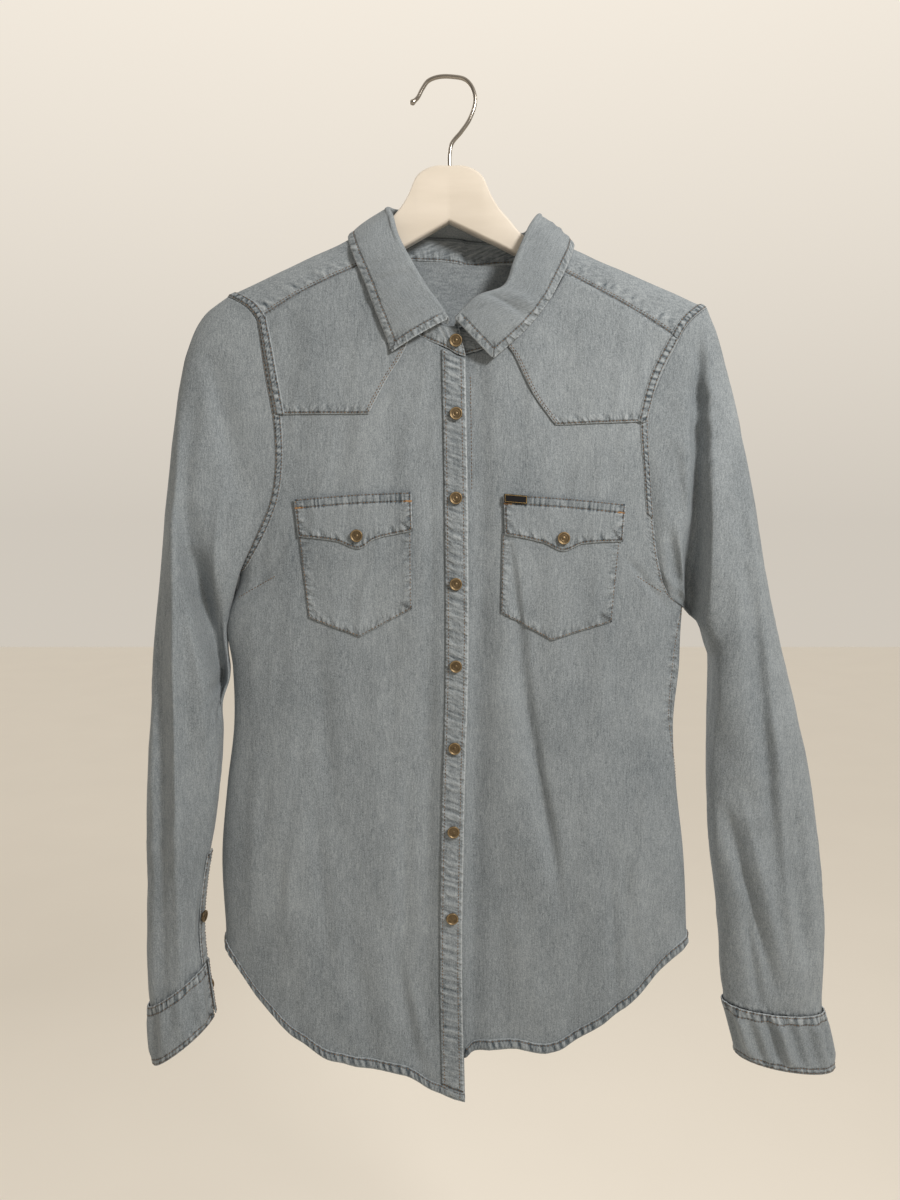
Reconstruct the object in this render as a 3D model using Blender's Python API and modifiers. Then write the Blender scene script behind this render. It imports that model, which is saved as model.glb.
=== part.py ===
"""A long-sleeved western denim shirt, buttoned, hanging on a painted wooden hanger with a wire hook.

The origin is where the hook bears on a rail, +Z is up and the shirt faces -Y. Left and right in the
names are the wearer's, so the right front is at -X. Sizes in the tables are millimetres.
"""

import math
from collections import namedtuple

import bmesh
import bpy
from mathutils import Vector

MM = 0.001

# Cloth.
WALL = 1.2  # every cloth wall
LAYER = 0.6  # air between a piece and the cloth that it lies on
SEAM = 0.35  # each piece stops this far from the line of its seam
ARMHOLE_GAP = 0.9  # and a sleeve this far from its armhole's
LAP_DEPTH = 3.4  # the left front runs this far behind the right one where they overlap
LAP_CLEAR = 8.0  # it stays down for this far past the right front's edge
LAP_EASE = 16.0  # and comes up level over this width

# The body is a flattened tube: a superellipse in plan, draped from the ridge of the shoulders.
SQUARENESS = 2.5
RIDGE_TOP_Z = -99.5  # where the two shoulder lines would meet
RIDGE_SLOPE_RIGHT = 0.46
RIDGE_SLOPE_LEFT = 0.425
RIDGE_BLUNT = 20.0
RIDGE_RADIUS = 8.0

Section = namedtuple("Section", "z right left front back")
BODY = [
    Section(z=-90, right=-210, left=236, front=25, back=21),
    Section(z=-180, right=-206, left=232, front=28, back=24),
    Section(z=-300, right=-196, left=224, front=31, back=27),
    Section(z=-370, right=-184, left=214, front=33, back=28),
    Section(z=-409, right=-178, left=206, front=33, back=28),
    Section(z=-450, right=-190, left=203, front=32, back=27),
    Section(z=-490, right=-186, left=202, front=31, back=27),
    Section(z=-540, right=-186, left=198, front=31, back=27),
    Section(z=-594, right=-193, left=202, front=32, back=29),
    Section(z=-660, right=-199, left=210, front=33, back=32),
    Section(z=-740, right=-196, left=214, front=32, back=34),
    Section(z=-880, right=-190, left=214, front=30, back=35),
]

# Soft folds of the hanging cloth: each runs from its top to its foot. A positive depth is a trough.
Fold = namedtuple("Fold", "top_x top_z foot_x foot_z width depth")
FRONT_FOLDS = [
    Fold(top_x=57, top_z=-455, foot_x=92, foot_z=-670, width=13, depth=2.6),
    Fold(top_x=-27, top_z=-452, foot_x=-30, foot_z=-840, width=18, depth=4.5),
    Fold(top_x=40, top_z=-520, foot_x=38, foot_z=-835, width=24, depth=5.0),
    Fold(top_x=-95, top_z=-500, foot_x=-70, foot_z=-840, width=22, depth=3.5),
    Fold(top_x=130, top_z=-465, foot_x=112, foot_z=-800, width=26, depth=-2.5),
    Fold(top_x=-150, top_z=-460, foot_x=-128, foot_z=-790, width=22, depth=-2.5),
]
BACK_FOLDS = [
    Fold(top_x=-70, top_z=-280, foot_x=-88, foot_z=-850, width=22, depth=5.0),
    Fold(top_x=14, top_z=-260, foot_x=22, foot_z=-860, width=16, depth=-4.0),
    Fold(top_x=88, top_z=-300, foot_x=104, foot_z=-850, width=24, depth=5.5),
    Fold(top_x=140, top_z=-470, foot_x=150, foot_z=-800, width=16, depth=3.0),
]

# Seam lines, as (x, z).
ARMHOLE_RIGHT_FRONT = [
    (-157, -197), (-151, -240), (-144, -282), (-143, -318), (-148, -348), (-162, -380), (-178, -406),
]
ARMHOLE_LEFT_FRONT = [
    (193, -213), (178, -243), (168, -275), (170, -325), (175, -376), (181, -407), (190, -427), (204, -437),
]
SHOULDER_TIP_RIGHT = (-184, -176)
SHOULDER_TIP_LEFT = (219, -187)
ARMHOLE_RIGHT_BACK = [(-163, -250), (-158, -310), (-163, -360), (-178, -406)]
ARMHOLE_LEFT_BACK = [(196, -262), (188, -320), (190, -385), (204, -437)]
YOKE_SEAM_RIGHT = [(-157, -197), (-118, -174), (-76, -155), (-66, -150)]
YOKE_SEAM_LEFT = [(193, -213), (160, -192), (129, -175), (96, -158)]
YOKE_SEAM_BACK = [(-163, -250), (-80, -256), (16, -260), (110, -260), (196, -262)]
Turn = namedtuple("Turn", "z angle")  # the side seams, by how far round the body they hang
SIDE_SEAMS = {
    "right": [
        Turn(z=-406, angle=180),
        Turn(z=-440, angle=190),
        Turn(z=-480, angle=196),
        Turn(z=-600, angle=197),
        Turn(z=-733, angle=192),
    ],
    "left": [
        Turn(z=-437, angle=5),
        Turn(z=-458, angle=12),
        Turn(z=-490, angle=16),
        Turn(z=-533, angle=12),
        Turn(z=-600, angle=-3),
        Turn(z=-735, angle=-8),
    ],
}
SEAM_TURN = 0.9  # in degrees, from the line of a side seam to the edge of each piece
SIDE_SHARE = 0.5  # of a panel's side, what lies under the armhole
LAP_SHARE = 0.75  # of a front's edge, what lies under the neckline
BODY_ROWS = 20
YOKE_NECK = (0.22, 0.78)  # of the yoke's front side, what goes round the neck
YOKE_BACK = (0.17, 0.82)  # of its seam behind, what lies opposite
HEM_RIGHT = [
    (-196, -739), (-185, -755), (-160, -787), (-123, -820), (-92, -835), (-52, -841), (-34, -844),
    (-10, -860), (16, -868),
]
HEM_LEFT = [
    (-4, -841), (18, -833), (30, -825), (60, -822), (88, -826), (120, -811), (165, -779), (197, -746),
    (213.5, -737),
]
HEM_BACK = [
    (206, -745), (190, -768), (130, -822), (60, -846), (10, -851), (-50, -846), (-115, -822), (-172, -768),
    (-190, -745),
]
LAP_EDGE = [(16, -230), (18, -334), (19, -480), (16, -600), (14, -740), (16, -870)]  # of the right front
PLACKET_WIDTH = 19.0
PLACKET_TOP = (-222.5, -231.0)
PLACKET_FOOT = (-861.0, -867.5)
PLACKET_INSET = 0.8  # from the front's edge
LAP_UNDER = -6.0  # the left front's own edge, behind the placket

# What is sewn on the fronts, as (x, z) outlines.
FRONT_YOKE_RIGHT = {
    "armhole": [(-142, -275), (-148, -240), (-155.5, -198)],
    "neck": [(-64, -275), (-49, -247), (-36, -226), (-34, -212), (-51, -188), (-66, -158), (-67, -152)],
    "middle": (-118, -174.7),
}
FRONT_YOKE_LEFT = {
    "armhole": [(166, -281), (176, -245), (191.5, -213.8)],
    "neck": [(90, -284), (71, -258), (55, -226), (56, -219), (78, -198), (93, -172), (98, -161)],
    "middle": (129, -175.8),
}
POCKET_RIGHT = [(-124, -374), (-116, -444), (-73, -460), (-29, -436), (-29, -368)]
POCKET_LEFT = [(46, -373), (45, -439), (88, -463), (139, -447), (145, -378)]
FLAP_RIGHT = {
    "top": [(-127, -345), (-29, -339)],
    "foot": [(-124, -376), (-91, -380), (-73, -386), (-59, -378), (-28, -371)],
}
FLAP_LEFT = {
    "top": [(47, -341), (149, -349)],
    "foot": [(48, -374), (80, -381), (97, -388), (113, -382), (147, -380)],
}
LABEL = {"top": [(47.5, -340.5), (66.5, -342)], "foot": [(47.5, -347.5), (66.5, -349)]}

BUTTON_RADIUS = 5.2
BUTTON_HEIGHT = 2.6
BUTTON_RIM = 0.8
BUTTON_DISH = 0.5
BUTTON_SEAT = 0.5  # air between a button and the cloth under it
TOP_BUTTON_SHARE = 0.028  # on the collar band, this far along it
FRONT_BUTTONS = [(8, -275), (8, -344), (8, -415), (8, -484), (7, -554), (6, -626), (5, -702)]
POCKET_BUTTONS = {"right": (-74, -375), "left": (97, -377)}

# The collar, from the wearer's right front end round the neck to the left one. n is where the band is sewn
# to the neckline, as (x, z, -1 in front, 0 on the ridge or 1 behind). s is the seam between band and leaf,
# r the roll line and e the leaf's outer edge, as (x, y, z).
Station = namedtuple("Station", "n s r e")
COLLAR = [
    Station(n=(16, -229, -1), s=(10, -25, -204), r=(2, -27, -198), e=(-46, -27, -226)),
    Station(n=(5, -224.5, -1), s=(1, -24.5, -203), r=(2, -27, -198), e=(-46, -27, -226)),
    Station(n=(-20, -213, -1), s=(-10, -24.5, -197), r=(-4, -26.5, -188), e=(-50, -26, -212)),
    Station(n=(-40, -193, -1), s=(-22, -23, -180), r=(-15, -25, -173), e=(-58, -24.5, -192)),
    Station(n=(-55, -172, -1), s=(-35, -20.5, -160), r=(-27, -22.5, -153), e=(-66, -22, -171)),
    Station(n=(-66, -150, -1), s=(-47, -15, -137), r=(-39, -16, -129), e=(-76, -17, -147)),
    Station(n=(-67.5, -135, -1), s=(-53, -9, -122), r=(-44, -9.5, -111), e=(-80, -10, -135)),
    Station(n=(-68, -123, 0), s=(-58, 0, -114), r=(-47, 1, -102), e=(-82, 2, -125)),
    Station(n=(-50, -136, 1), s=(-47, 14.5, -118), r=(-40, 16, -99), e=(-72, 18, -138)),
    Station(n=(-24, -142, 1), s=(-23, 18, -121), r=(-19, 20.5, -97), e=(-36, 24, -143)),
    Station(n=(14, -145, 1), s=(14, 18.5, -123), r=(14, 21, -97), e=(14, 25, -144)),
    Station(n=(52, -145, 1), s=(50, 18, -127), r=(45, 20.5, -109), e=(64, 24, -147)),
    Station(n=(78, -142, 1), s=(73, 15, -130), r=(64, 16.5, -118), e=(97, 19, -147)),
    Station(n=(97, -133, 0), s=(86, 0, -122), r=(75, 1, -108), e=(106, 2, -133)),
    Station(n=(97, -145, -1), s=(81, -9, -128), r=(71.5, -9.5, -114), e=(104, -10, -142)),
    Station(n=(96, -158, -1), s=(76, -14.5, -138), r=(66, -15, -124), e=(100, -18, -152)),
    Station(n=(84, -182, -1), s=(65, -20, -163), r=(55, -22.5, -150), e=(92, -22, -169)),
    Station(n=(66, -202, -1), s=(50, -23.5, -184), r=(46, -26, -172), e=(80, -24.5, -184)),
    Station(n=(42, -218, -1), s=(28, -24.5, -198), r=(24, -29, -182), e=(60, -27, -205)),
    Station(n=(12, -227, -1), s=(6, -24, -205), r=(8, -27, -198), e=(38, -28, -231)),
    Station(n=(-6, -226, -1), s=(-6, -24, -204), r=(8, -27, -198), e=(38, -28, -231)),
]
NECK_AXIS = (14, 5)  # the leaf is turned down away from here
YOKE_STATIONS = (5, 15)  # where the shoulder seams meet the neck
LEAF_STATIONS = (1, 19)  # where the leaf begins and ends
ROLL_RADIUS = 2.6
BAND_FOOT = 1.4  # the band starts this far above the cut edge of the neck
BAND_TOP = 0.4
LEAF_FOOT = 0.6
LEAF_ROLL = (0.2, 0.5)  # the part of the leaf's grid that goes round the roll
LEAF_BOW = 3.0

# Sleeves: a row for each ring from the armhole to the cuff. outer and inner are the two folded sides,
# mid is the y of both, and front and back are how far the cloth stands from there.
Ring = namedtuple("Ring", "outer inner mid front back")
SLEEVE_RIGHT = [
    Ring(outer=(-184, -176), inner=(-180, -407), mid=0, front=26, back=24),
    Ring(outer=(-206, -193), inner=(-184, -419), mid=-1, front=28, back=26),
    Ring(outer=(-219, -221), inner=(-190, -431), mid=-3, front=30, back=28),
    Ring(outer=(-227, -262), inner=(-195, -444), mid=-5, front=31, back=29),
    Ring(outer=(-232, -305), inner=(-198, -458), mid=-6, front=31, back=30),
    Ring(outer=(-237, -352), inner=(-195, -476), mid=-7, front=32, back=30),
    Ring(outer=(-242, -402), inner=(-193, -498), mid=-8, front=32, back=30),
    Ring(outer=(-248, -455), inner=(-196, -522), mid=-8, front=32, back=30),
    Ring(outer=(-253, -510), inner=(-196, -550), mid=-8, front=31, back=29),
    Ring(outer=(-258, -570), inner=(-199, -590), mid=-8, front=30, back=28),
    Ring(outer=(-261, -630), inner=(-205, -635), mid=-8, front=29, back=27),
    Ring(outer=(-263, -690), inner=(-213, -678), mid=-8, front=28, back=26),
    Ring(outer=(-264, -745), inner=(-217, -720), mid=-8, front=27, back=25),
    Ring(outer=(-263, -795), inner=(-215, -758), mid=-8, front=26, back=24),
]
SLEEVE_LEFT = [
    Ring(outer=(219, -187), inner=(207, -439), mid=0, front=26, back=24),
    Ring(outer=(228, -209), inner=(213, -443), mid=-2, front=27, back=26),
    Ring(outer=(235, -236), inner=(218, -450), mid=-4, front=28, back=27),
    Ring(outer=(243, -266), inner=(222, -460), mid=-5, front=29, back=28),
    Ring(outer=(250, -299), inner=(224, -471), mid=-6, front=30, back=28),
    Ring(outer=(258, -338), inner=(227, -482), mid=-7, front=30, back=28),
    Ring(outer=(266, -382), inner=(227, -497), mid=-7, front=30, back=28),
    Ring(outer=(275, -426), inner=(227, -516), mid=-7, front=30, back=28),
    Ring(outer=(287, -471), inner=(227, -541), mid=-7, front=29, back=27),
    Ring(outer=(300, -517), inner=(227, -572), mid=-7, front=28, back=26),
    Ring(outer=(313, -570), inner=(228, -606), mid=-7, front=27, back=25),
    Ring(outer=(322, -622), inner=(230, -641), mid=-7, front=26, back=24),
    Ring(outer=(329, -674), inner=(236, -681), mid=-7, front=25, back=23),
    Ring(outer=(334, -728), inner=(242, -726), mid=-7, front=23, back=21),
    Ring(outer=(335, -802), inner=(248, -793), mid=-7, front=20, back=18),
]
SLEEVE_SQUARENESS = 2.1
STRAIGHT_FROM = 0.62  # up the sleeve, where its rings start to bend towards the armhole's curve
YOKE_END_STEPS = 16  # of the yoke's edge over a shoulder, which the top of a sleeve follows
SLEEVE_SPAN = (0.003, 0.992)  # the tube stops short of its cuff and of its armhole
SLEEVE_FOLDS_RIGHT = [
    Fold(top_x=-216, top_z=-345, foot_x=-200, foot_z=-520, width=12, depth=13),
    Fold(top_x=-238, top_z=-330, foot_x=-244, foot_z=-780, width=9, depth=-4),
    Fold(top_x=-222, top_z=-520, foot_x=-226, foot_z=-740, width=10, depth=4),
]
SLEEVE_FOLDS_LEFT = [
    Fold(top_x=215, top_z=-196, foot_x=214, foot_z=-470, width=8, depth=17),
    Fold(top_x=258, top_z=-420, foot_x=292, foot_z=-770, width=12, depth=5),
    Fold(top_x=236, top_z=-540, foot_x=268, foot_z=-780, width=9, depth=3.5),
]
SLEEVE_BACK_FOLDS_RIGHT = [Fold(top_x=-212, top_z=-360, foot_x=-228, foot_z=-740, width=11, depth=5)]
SLEEVE_BACK_FOLDS_LEFT = [Fold(top_x=222, top_z=-330, foot_x=290, foot_z=-760, width=12, depth=6)]

CUFF_RIGHT = [
    Ring(outer=(-263.2, -789), inner=(-215.2, -753), mid=-8, front=26.2, back=24.2),
    Ring(outer=(-260, -844), inner=(-209, -803), mid=-8, front=26, back=24),
]
CUFF_LEFT = [
    Ring(outer=(335, -796), inner=(247.6, -788), mid=-7, front=20.2, back=18.2),
    Ring(outer=(346, -851), inner=(261, -838), mid=-7, front=20, back=18),
]
CUFF_ROOM = 2 * LAYER + WALL  # the cuffs go round the ends of the sleeves
# Each strip's span round the sleeve (0 is the side at -X, then the front) and up it from the cuff.
GAUNTLET_RIGHT = {"around": (0.455, 0.545), "along": (0.012, 0.20)}
GAUNTLET_LEFT = {"around": (0.66, 0.74), "along": (0.012, 0.19)}
GAUNTLET_BUTTON = {"right": (0.22, 0.46), "left": (0.5, 0.62)}  # across the strip and up it
CUFF_SLIT_RIGHT = (0.505, 0.03)  # where the cuff's ends meet, and how wide they gape
CUFF_SLIT_LEFT = (0.70, 0.012)
CUFF_BUTTON = {"right": (0.62, 0.5), "left": (0.735, 0.5)}  # round the cuff and up it

# The hanger: a flat board, by the top and foot of its outline at each x.
Board = namedtuple("Board", "x top foot thick")
HANGER = [
    Board(x=-205, top=-209, foot=-214, thick=4),
    Board(x=-203.5, top=-204, foot=-219, thick=9),
    Board(x=-198, top=-197, foot=-221, thick=12),
    Board(x=-190, top=-190.5, foot=-219, thick=12),
    Board(x=-180, top=-182, foot=-213, thick=12),
    Board(x=-150, top=-166, foot=-199, thick=12),
    Board(x=-115, top=-149.5, foot=-180, thick=12),
    Board(x=-80, top=-136, foot=-161, thick=12),
    Board(x=-58, top=-125, foot=-148.5, thick=12),
    Board(x=-46, top=-112, foot=-142, thick=12),
    Board(x=-38, top=-103, foot=-137.5, thick=12),
    Board(x=-31, top=-91.5, foot=-133.5, thick=12),
    Board(x=-26, top=-80, foot=-130.7, thick=12),
    Board(x=-19, top=-73.5, foot=-126.8, thick=12),
    Board(x=-9, top=-70, foot=-121.2, thick=12),
    Board(x=2, top=-70, foot=-115, thick=12),
    Board(x=14, top=-70, foot=-120.5, thick=12),
    Board(x=24, top=-73.5, foot=-125.1, thick=12),
    Board(x=31, top=-80, foot=-128.5, thick=12),
    Board(x=36, top=-91.5, foot=-130.8, thick=12),
    Board(x=43, top=-103, foot=-134, thick=12),
    Board(x=51, top=-112, foot=-138, thick=12),
    Board(x=63, top=-125, foot=-144, thick=12),
    Board(x=85, top=-135.5, foot=-156, thick=12),
    Board(x=120, top=-148, foot=-174, thick=12),
    Board(x=155, top=-162.7, foot=-192, thick=12),
    Board(x=185, top=-176, foot=-206, thick=12),
    Board(x=203, top=-185, foot=-214, thick=12),
    Board(x=211, top=-191, foot=-216, thick=12),
    Board(x=215.5, top=-197, foot=-213, thick=9),
    Board(x=216.5, top=-202, foot=-208, thick=4),
]
BOARD_ROUND = 4.0
BOARD_FLAT = 0.5  # half of the flat left between two rounded corners at the least
ROUND_END = 1.999  # the last turn that still belongs to a rounded corner, which spans 0 to 2
WIRE_RADIUS = 1.7
HOOK_PATH = [
    (2.5, -69.6), (2.5, -60), (4.5, -51), (12, -42), (19, -32), (23.5, -19), (21.8, -8), (15.5, -0.5),
    (6, 1.7), (-6, 1.7), (-15, -1.5), (-20, -8), (-24, -15), (-30, -20),
]
HOOK_STEPS = 32

MATERIALS = {
    "denim": dict(colour=(0.27, 0.33, 0.40), roughness=0.92, metallic=0.0),
    "brass": dict(colour=(0.34, 0.22, 0.10), roughness=0.42, metallic=0.85),
    "painted_wood": dict(colour=(0.86, 0.84, 0.80), roughness=0.38, metallic=0.0),
    "steel": dict(colour=(0.62, 0.60, 0.57), roughness=0.22, metallic=1.0),
    "label": dict(colour=(0.03, 0.03, 0.035), roughness=0.7, metallic=0.0),
}


# ---------------------------------------------------------------------------------------------- curves
def mix(a, b, share):
    return a + (b - a) * share


def smoothstep(x):
    x = min(1.0, max(0.0, x))
    return x * x * (3 - 2 * x)


def hermite(knots, values, at):
    """A smooth curve through values at rising knots, read at one place."""
    last = len(knots) - 1
    i = 0
    while i < last - 1 and at > knots[i + 1]:
        i += 1

    def slope(j):
        a, b = max(0, j - 1), min(last, j + 1)
        return (values[b] - values[a]) / (knots[b] - knots[a])

    width = knots[i + 1] - knots[i]
    s = min(1.0, max(0.0, (at - knots[i]) / width))
    return (
        (2 * s**3 - 3 * s**2 + 1) * values[i]
        + (s**3 - 2 * s**2 + s) * width * slope(i)
        + (-2 * s**3 + 3 * s**2) * values[i + 1]
        + (s**3 - s**2) * width * slope(i + 1)
    )


def path(points, straight=False):
    """A function of 0 to 1 that runs along the points by length, as a smooth curve or as straight lines."""
    knots = [0.0]
    for a, b in zip(points, points[1:]):
        knots.append(knots[-1] + math.dist(a, b))

    def at(share):
        place = min(1.0, max(0.0, share)) * knots[-1]
        if straight:
            i = max(j for j in range(len(points) - 1) if knots[j] <= place + 1e-9)
            part = (place - knots[i]) / (knots[i + 1] - knots[i])
            return tuple(mix(a, b, part) for a, b in zip(points[i], points[i + 1]))
        return tuple(hermite(knots, [p[k] for p in points], place) for k in range(len(points[0])))

    return at


def stepped(share, places, values):
    """A share that runs straight from 0 to the first value, on to the second one, and then to 1."""
    knots, heights = (0.0, *places, 1.0), (0.0, *values, 1.0)
    i = max(j for j in range(3) if knots[j] <= share)
    return mix(heights[i], heights[i + 1], (share - knots[i]) / (knots[i + 1] - knots[i]))


def joined(*paths_and_shares):
    """Several paths end to end: each comes with the share of the whole at which it ends."""

    def at(share):
        begun = 0.0
        for run, ends in paths_and_shares:
            if share <= ends or ends == paths_and_shares[-1][1]:
                return run((share - begun) / (ends - begun))
            begun = ends
    return at


def patch(foot, top, start, end):
    """The point (x, z) of a four-sided patch: foot and top run from start's side to end's side."""
    def at(u, v):
        place = []
        for k in range(2):
            corners = mix(mix(foot(0)[k], foot(1)[k], u), mix(top(0)[k], top(1)[k], u), v)
            place.append(mix(start(v)[k], end(v)[k], u) + mix(foot(u)[k], top(u)[k], v) - corners)
        return tuple(place)
    return at


# ------------------------------------------------------------------------------------------ the body tube
def section(z, column):
    rows = BODY[::-1]
    return hermite([r.z for r in rows], [getattr(r, column) for r in rows], z)


def ridge_z(x):
    slope = RIDGE_SLOPE_RIGHT if x < 0 else RIDGE_SLOPE_LEFT
    return RIDGE_TOP_Z - slope * (math.hypot(x, RIDGE_BLUNT) - RIDGE_BLUNT)


def folds(rows, x, z):
    """How far the folds push the cloth in at this place."""
    depth = 0.0
    for fold in rows:
        along = (fold.top_z - z) / (fold.top_z - fold.foot_z)
        if 0 < along < 1:
            off = (x - mix(fold.top_x, fold.foot_x, along)) / fold.width
            depth += fold.depth * math.sin(math.pi * along) ** 0.7 * math.exp(-off * off)
    return depth


def drape(stands, below_ridge):
    """How far cloth hangs from the middle, where it would stand this far off a long way down."""
    if stands < 0.01:
        return 0.0
    rounded = math.sqrt(2 * RIDGE_RADIUS * max(0.0, below_ridge))
    return stands * (1 - math.exp(-rounded / stands))


def side_share(x, z):
    """Where x lies between the middle, 0, and a side, 1 or -1."""
    right, left = section(z, "right"), section(z, "left")
    return (2 * x - right - left) / (left - right)


def body_y(x, z, column):
    share = min(1.0, abs(side_share(x, z)))
    fullness = (1 - share**SQUARENESS) ** (1 / SQUARENESS)
    off = drape(section(z, column) * fullness, ridge_z(x) - z)
    rows = FRONT_FOLDS if column == "front" else BACK_FOLDS
    off -= folds(rows, x, z) * min(1.0, 2 * fullness) ** 2
    return -off if column == "front" else off


def front_y(x, z):
    return body_y(x, z, "front")


def back_y(x, z):
    return body_y(x, z, "back")


def bearing(x, z, back=False):
    """The angle round the body of a point on it: 0 at the left side, 90 in front, 180 at the right side."""
    share = min(1.0, max(-1.0, side_share(x, z)))
    angle = math.degrees(math.acos(math.copysign(abs(share) ** (SQUARENESS / 2), share)))
    return 360 - angle if back else angle


def on_body(angle, z):
    turn = math.cos(math.radians(angle))
    share = math.copysign(abs(turn) ** (2 / SQUARENESS), turn)
    right, left = section(z, "right"), section(z, "left")
    x = (right + left + share * (left - right)) / 2
    return Vector((x, back_y(x, z) if math.sin(math.radians(angle)) < 0 else front_y(x, z), z))


# ---------------------------------------------------------------------------------------------- building
def material(name):
    found = bpy.data.materials.get(name)
    if found:
        return found
    made = bpy.data.materials.new(name)
    made.use_nodes = True
    shader = made.node_tree.nodes["Principled BSDF"]
    shader.inputs["Base Color"].default_value = (*MATERIALS[name]["colour"], 1)
    shader.inputs["Roughness"].default_value = MATERIALS[name]["roughness"]
    shader.inputs["Metallic"].default_value = MATERIALS[name]["metallic"]
    return made


def add(name, mesh, finish):
    obj = bpy.data.objects.new(name, mesh)
    mesh.materials.append(material(finish))
    SHIRT.objects.link(obj)
    return obj


def cloth(name, columns, rows, point, wall=WALL, both_ways=False, finish="denim", closed=False):
    """A grid laid out by point(u, v), in millimetres, and thickened. u cross v faces out of the garment."""
    grid = bmesh.new()
    bmesh.ops.create_grid(grid, x_segments=columns, y_segments=rows, size=0.5)
    for vert in grid.verts:
        vert.co = Vector(point(vert.co.x + 0.5, vert.co.y + 0.5)) * MM
    if closed:
        bmesh.ops.remove_doubles(grid, verts=grid.verts, dist=0.01 * MM)
    mesh = bpy.data.meshes.new(name)
    grid.to_mesh(mesh)
    grid.free()
    obj = add(name, mesh, finish)
    solid = obj.modifiers.new("wall", "SOLIDIFY")
    solid.thickness = wall * MM
    solid.offset = 0 if both_ways else -1
    mesh.shade_smooth()
    return obj


def shifted(line, inset):
    """The same line moved by inset, a pair (x, z)."""
    return [(x + inset[0], z + inset[1]) for x, z in line]


def on_front(outline, height):
    """A surface over the front panels: outline gives (x, z), and height how far its outer face is off."""
    def point(u, v):
        x, z = outline(u, v)
        return x, front_y(x, z) - height, z
    return point


# ------------------------------------------------------------------------------------------- body panels
def lap_edge_x(z):
    rows = LAP_EDGE[::-1]
    return hermite([p[1] for p in rows], [p[0] for p in rows], z)


def lap(x, z):
    """How far the left front is pushed in to pass behind the right one."""
    return LAP_DEPTH * (1 - smoothstep((x - lap_edge_x(z) - LAP_CLEAR) / LAP_EASE))


def side_seam(side, shift):
    """The side seam from hem to armhole, moved round the body by this many degrees."""
    rows = SIDE_SEAMS[side]

    def at(share):
        z = mix(rows[-1].z, rows[0].z, share)
        return hermite([row.z for row in rows[::-1]], [row.angle for row in rows[::-1]], z) + shift, z

    return at


def as_angle(run, face=1):
    """A path of (x, z) on the front, 1, or the back, -1, as (angle, z)."""
    return lambda share: (face * bearing(*run(share)), run(share)[1])


def as_angles(points, face=1):
    return [(face * bearing(x, z), z) for x, z in points]


def neckline(share):
    """The cut edge of the neck, from the right front's edge round to the left one's, as (x, reach)."""
    knots = [i / (len(COLLAR) - 1) for i in range(len(COLLAR))]
    rows = [(x, face * math.sqrt(max(0.0, ridge_z(x) - z))) for x, z, face in (row.n for row in COLLAR)]
    return tuple(hermite(knots, [row[k] for row in rows], share) for k in range(2))


def neck_between(one, other):
    """The neckline from one station to the other."""
    last = len(COLLAR) - 1
    return lambda share: neckline(mix(one, other, share) / last)


def front_neck(one, other):
    def at(share):
        x, reach = neck_between(one, other)(share)
        z = ridge_z(x) - reach * reach
        return bearing(x, z), z
    return at


def build_front_right():
    seam = side_seam("right", -SEAM_TURN)
    armhole = as_angle(path(shifted(ARMHOLE_RIGHT_FRONT[::-1], (SEAM, 0))))
    edge = as_angle(path(LAP_EDGE[::-1]))
    outline = patch(
        foot=path([seam(0), *as_angles(HEM_RIGHT)]),
        top=as_angle(path(shifted(YOKE_SEAM_RIGHT, (0, -SEAM)))),
        start=joined((seam, SIDE_SHARE), (armhole, 1.0)),
        end=joined((edge, LAP_SHARE), (front_neck(0, YOKE_STATIONS[0]), 1.0)),
    )
    cloth("front_right", 13, BODY_ROWS, lambda u, v: on_body(*outline(u, v)))


def build_front_left():
    """The left front passes behind the right one as far as LAP_UNDER."""
    seam = side_seam("left", SEAM_TURN)
    last = len(COLLAR) - 1
    armhole = as_angle(path(shifted(ARMHOLE_LEFT_FRONT[::-1], (-SEAM, 0))))
    edge = as_angle(path([(LAP_UNDER, HEM_LEFT[0][1]), COLLAR[-1].n[:2]]))
    outline = patch(
        foot=path([*as_angles(HEM_LEFT), seam(0)]),
        top=as_angle(path(shifted(YOKE_SEAM_LEFT[::-1], (0, -SEAM)))),
        start=joined((edge, LAP_SHARE), (front_neck(last, YOKE_STATIONS[1]), 1.0)),
        end=joined((seam, SIDE_SHARE), (armhole, 1.0)),
    )

    def point(u, v):
        place = on_body(*outline(u, v))
        place.y += lap(place.x, place.z)
        return place

    cloth("front_left", 14, BODY_ROWS, point)


def build_back():
    """The back wraps round the left side as far as the side seam, which hangs turned towards the front."""
    left_seam = side_seam("left", -SEAM_TURN)
    right_seam = side_seam("right", SEAM_TURN - 360)
    left_hole = path(shifted(ARMHOLE_LEFT_BACK[::-1], (-SEAM, 0)))
    right_hole = path(shifted(ARMHOLE_RIGHT_BACK[::-1], (SEAM, 0)))
    outline = patch(
        foot=path([left_seam(0), *as_angles(HEM_BACK, -1), right_seam(0)]),
        top=as_angle(path(shifted(YOKE_SEAM_BACK[::-1], (0, -SEAM))), -1),
        start=joined((left_seam, SIDE_SHARE), (as_angle(left_hole, -1), 1.0)),
        end=joined((right_seam, SIDE_SHARE), (as_angle(right_hole, -1), 1.0)),
    )
    cloth("back", 20, BODY_ROWS, lambda u, v: on_body(*outline(u, v)))


def over_ridge(x, reach):
    """The point at x and this reach over the ridge of the shoulders: reach squared is the drop below it."""
    z = ridge_z(x) - reach * reach
    return Vector((x, front_y(x, z) if reach < 0 else back_y(x, z), z))


def as_reach(run, face):
    """A path of (x, z) on the front, -1, or the back, 1, as (x, reach over the ridge)."""
    def at(share):
        x, z = run(share)
        return x, face * math.sqrt(max(0.0, ridge_z(x) - z))
    return at


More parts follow.
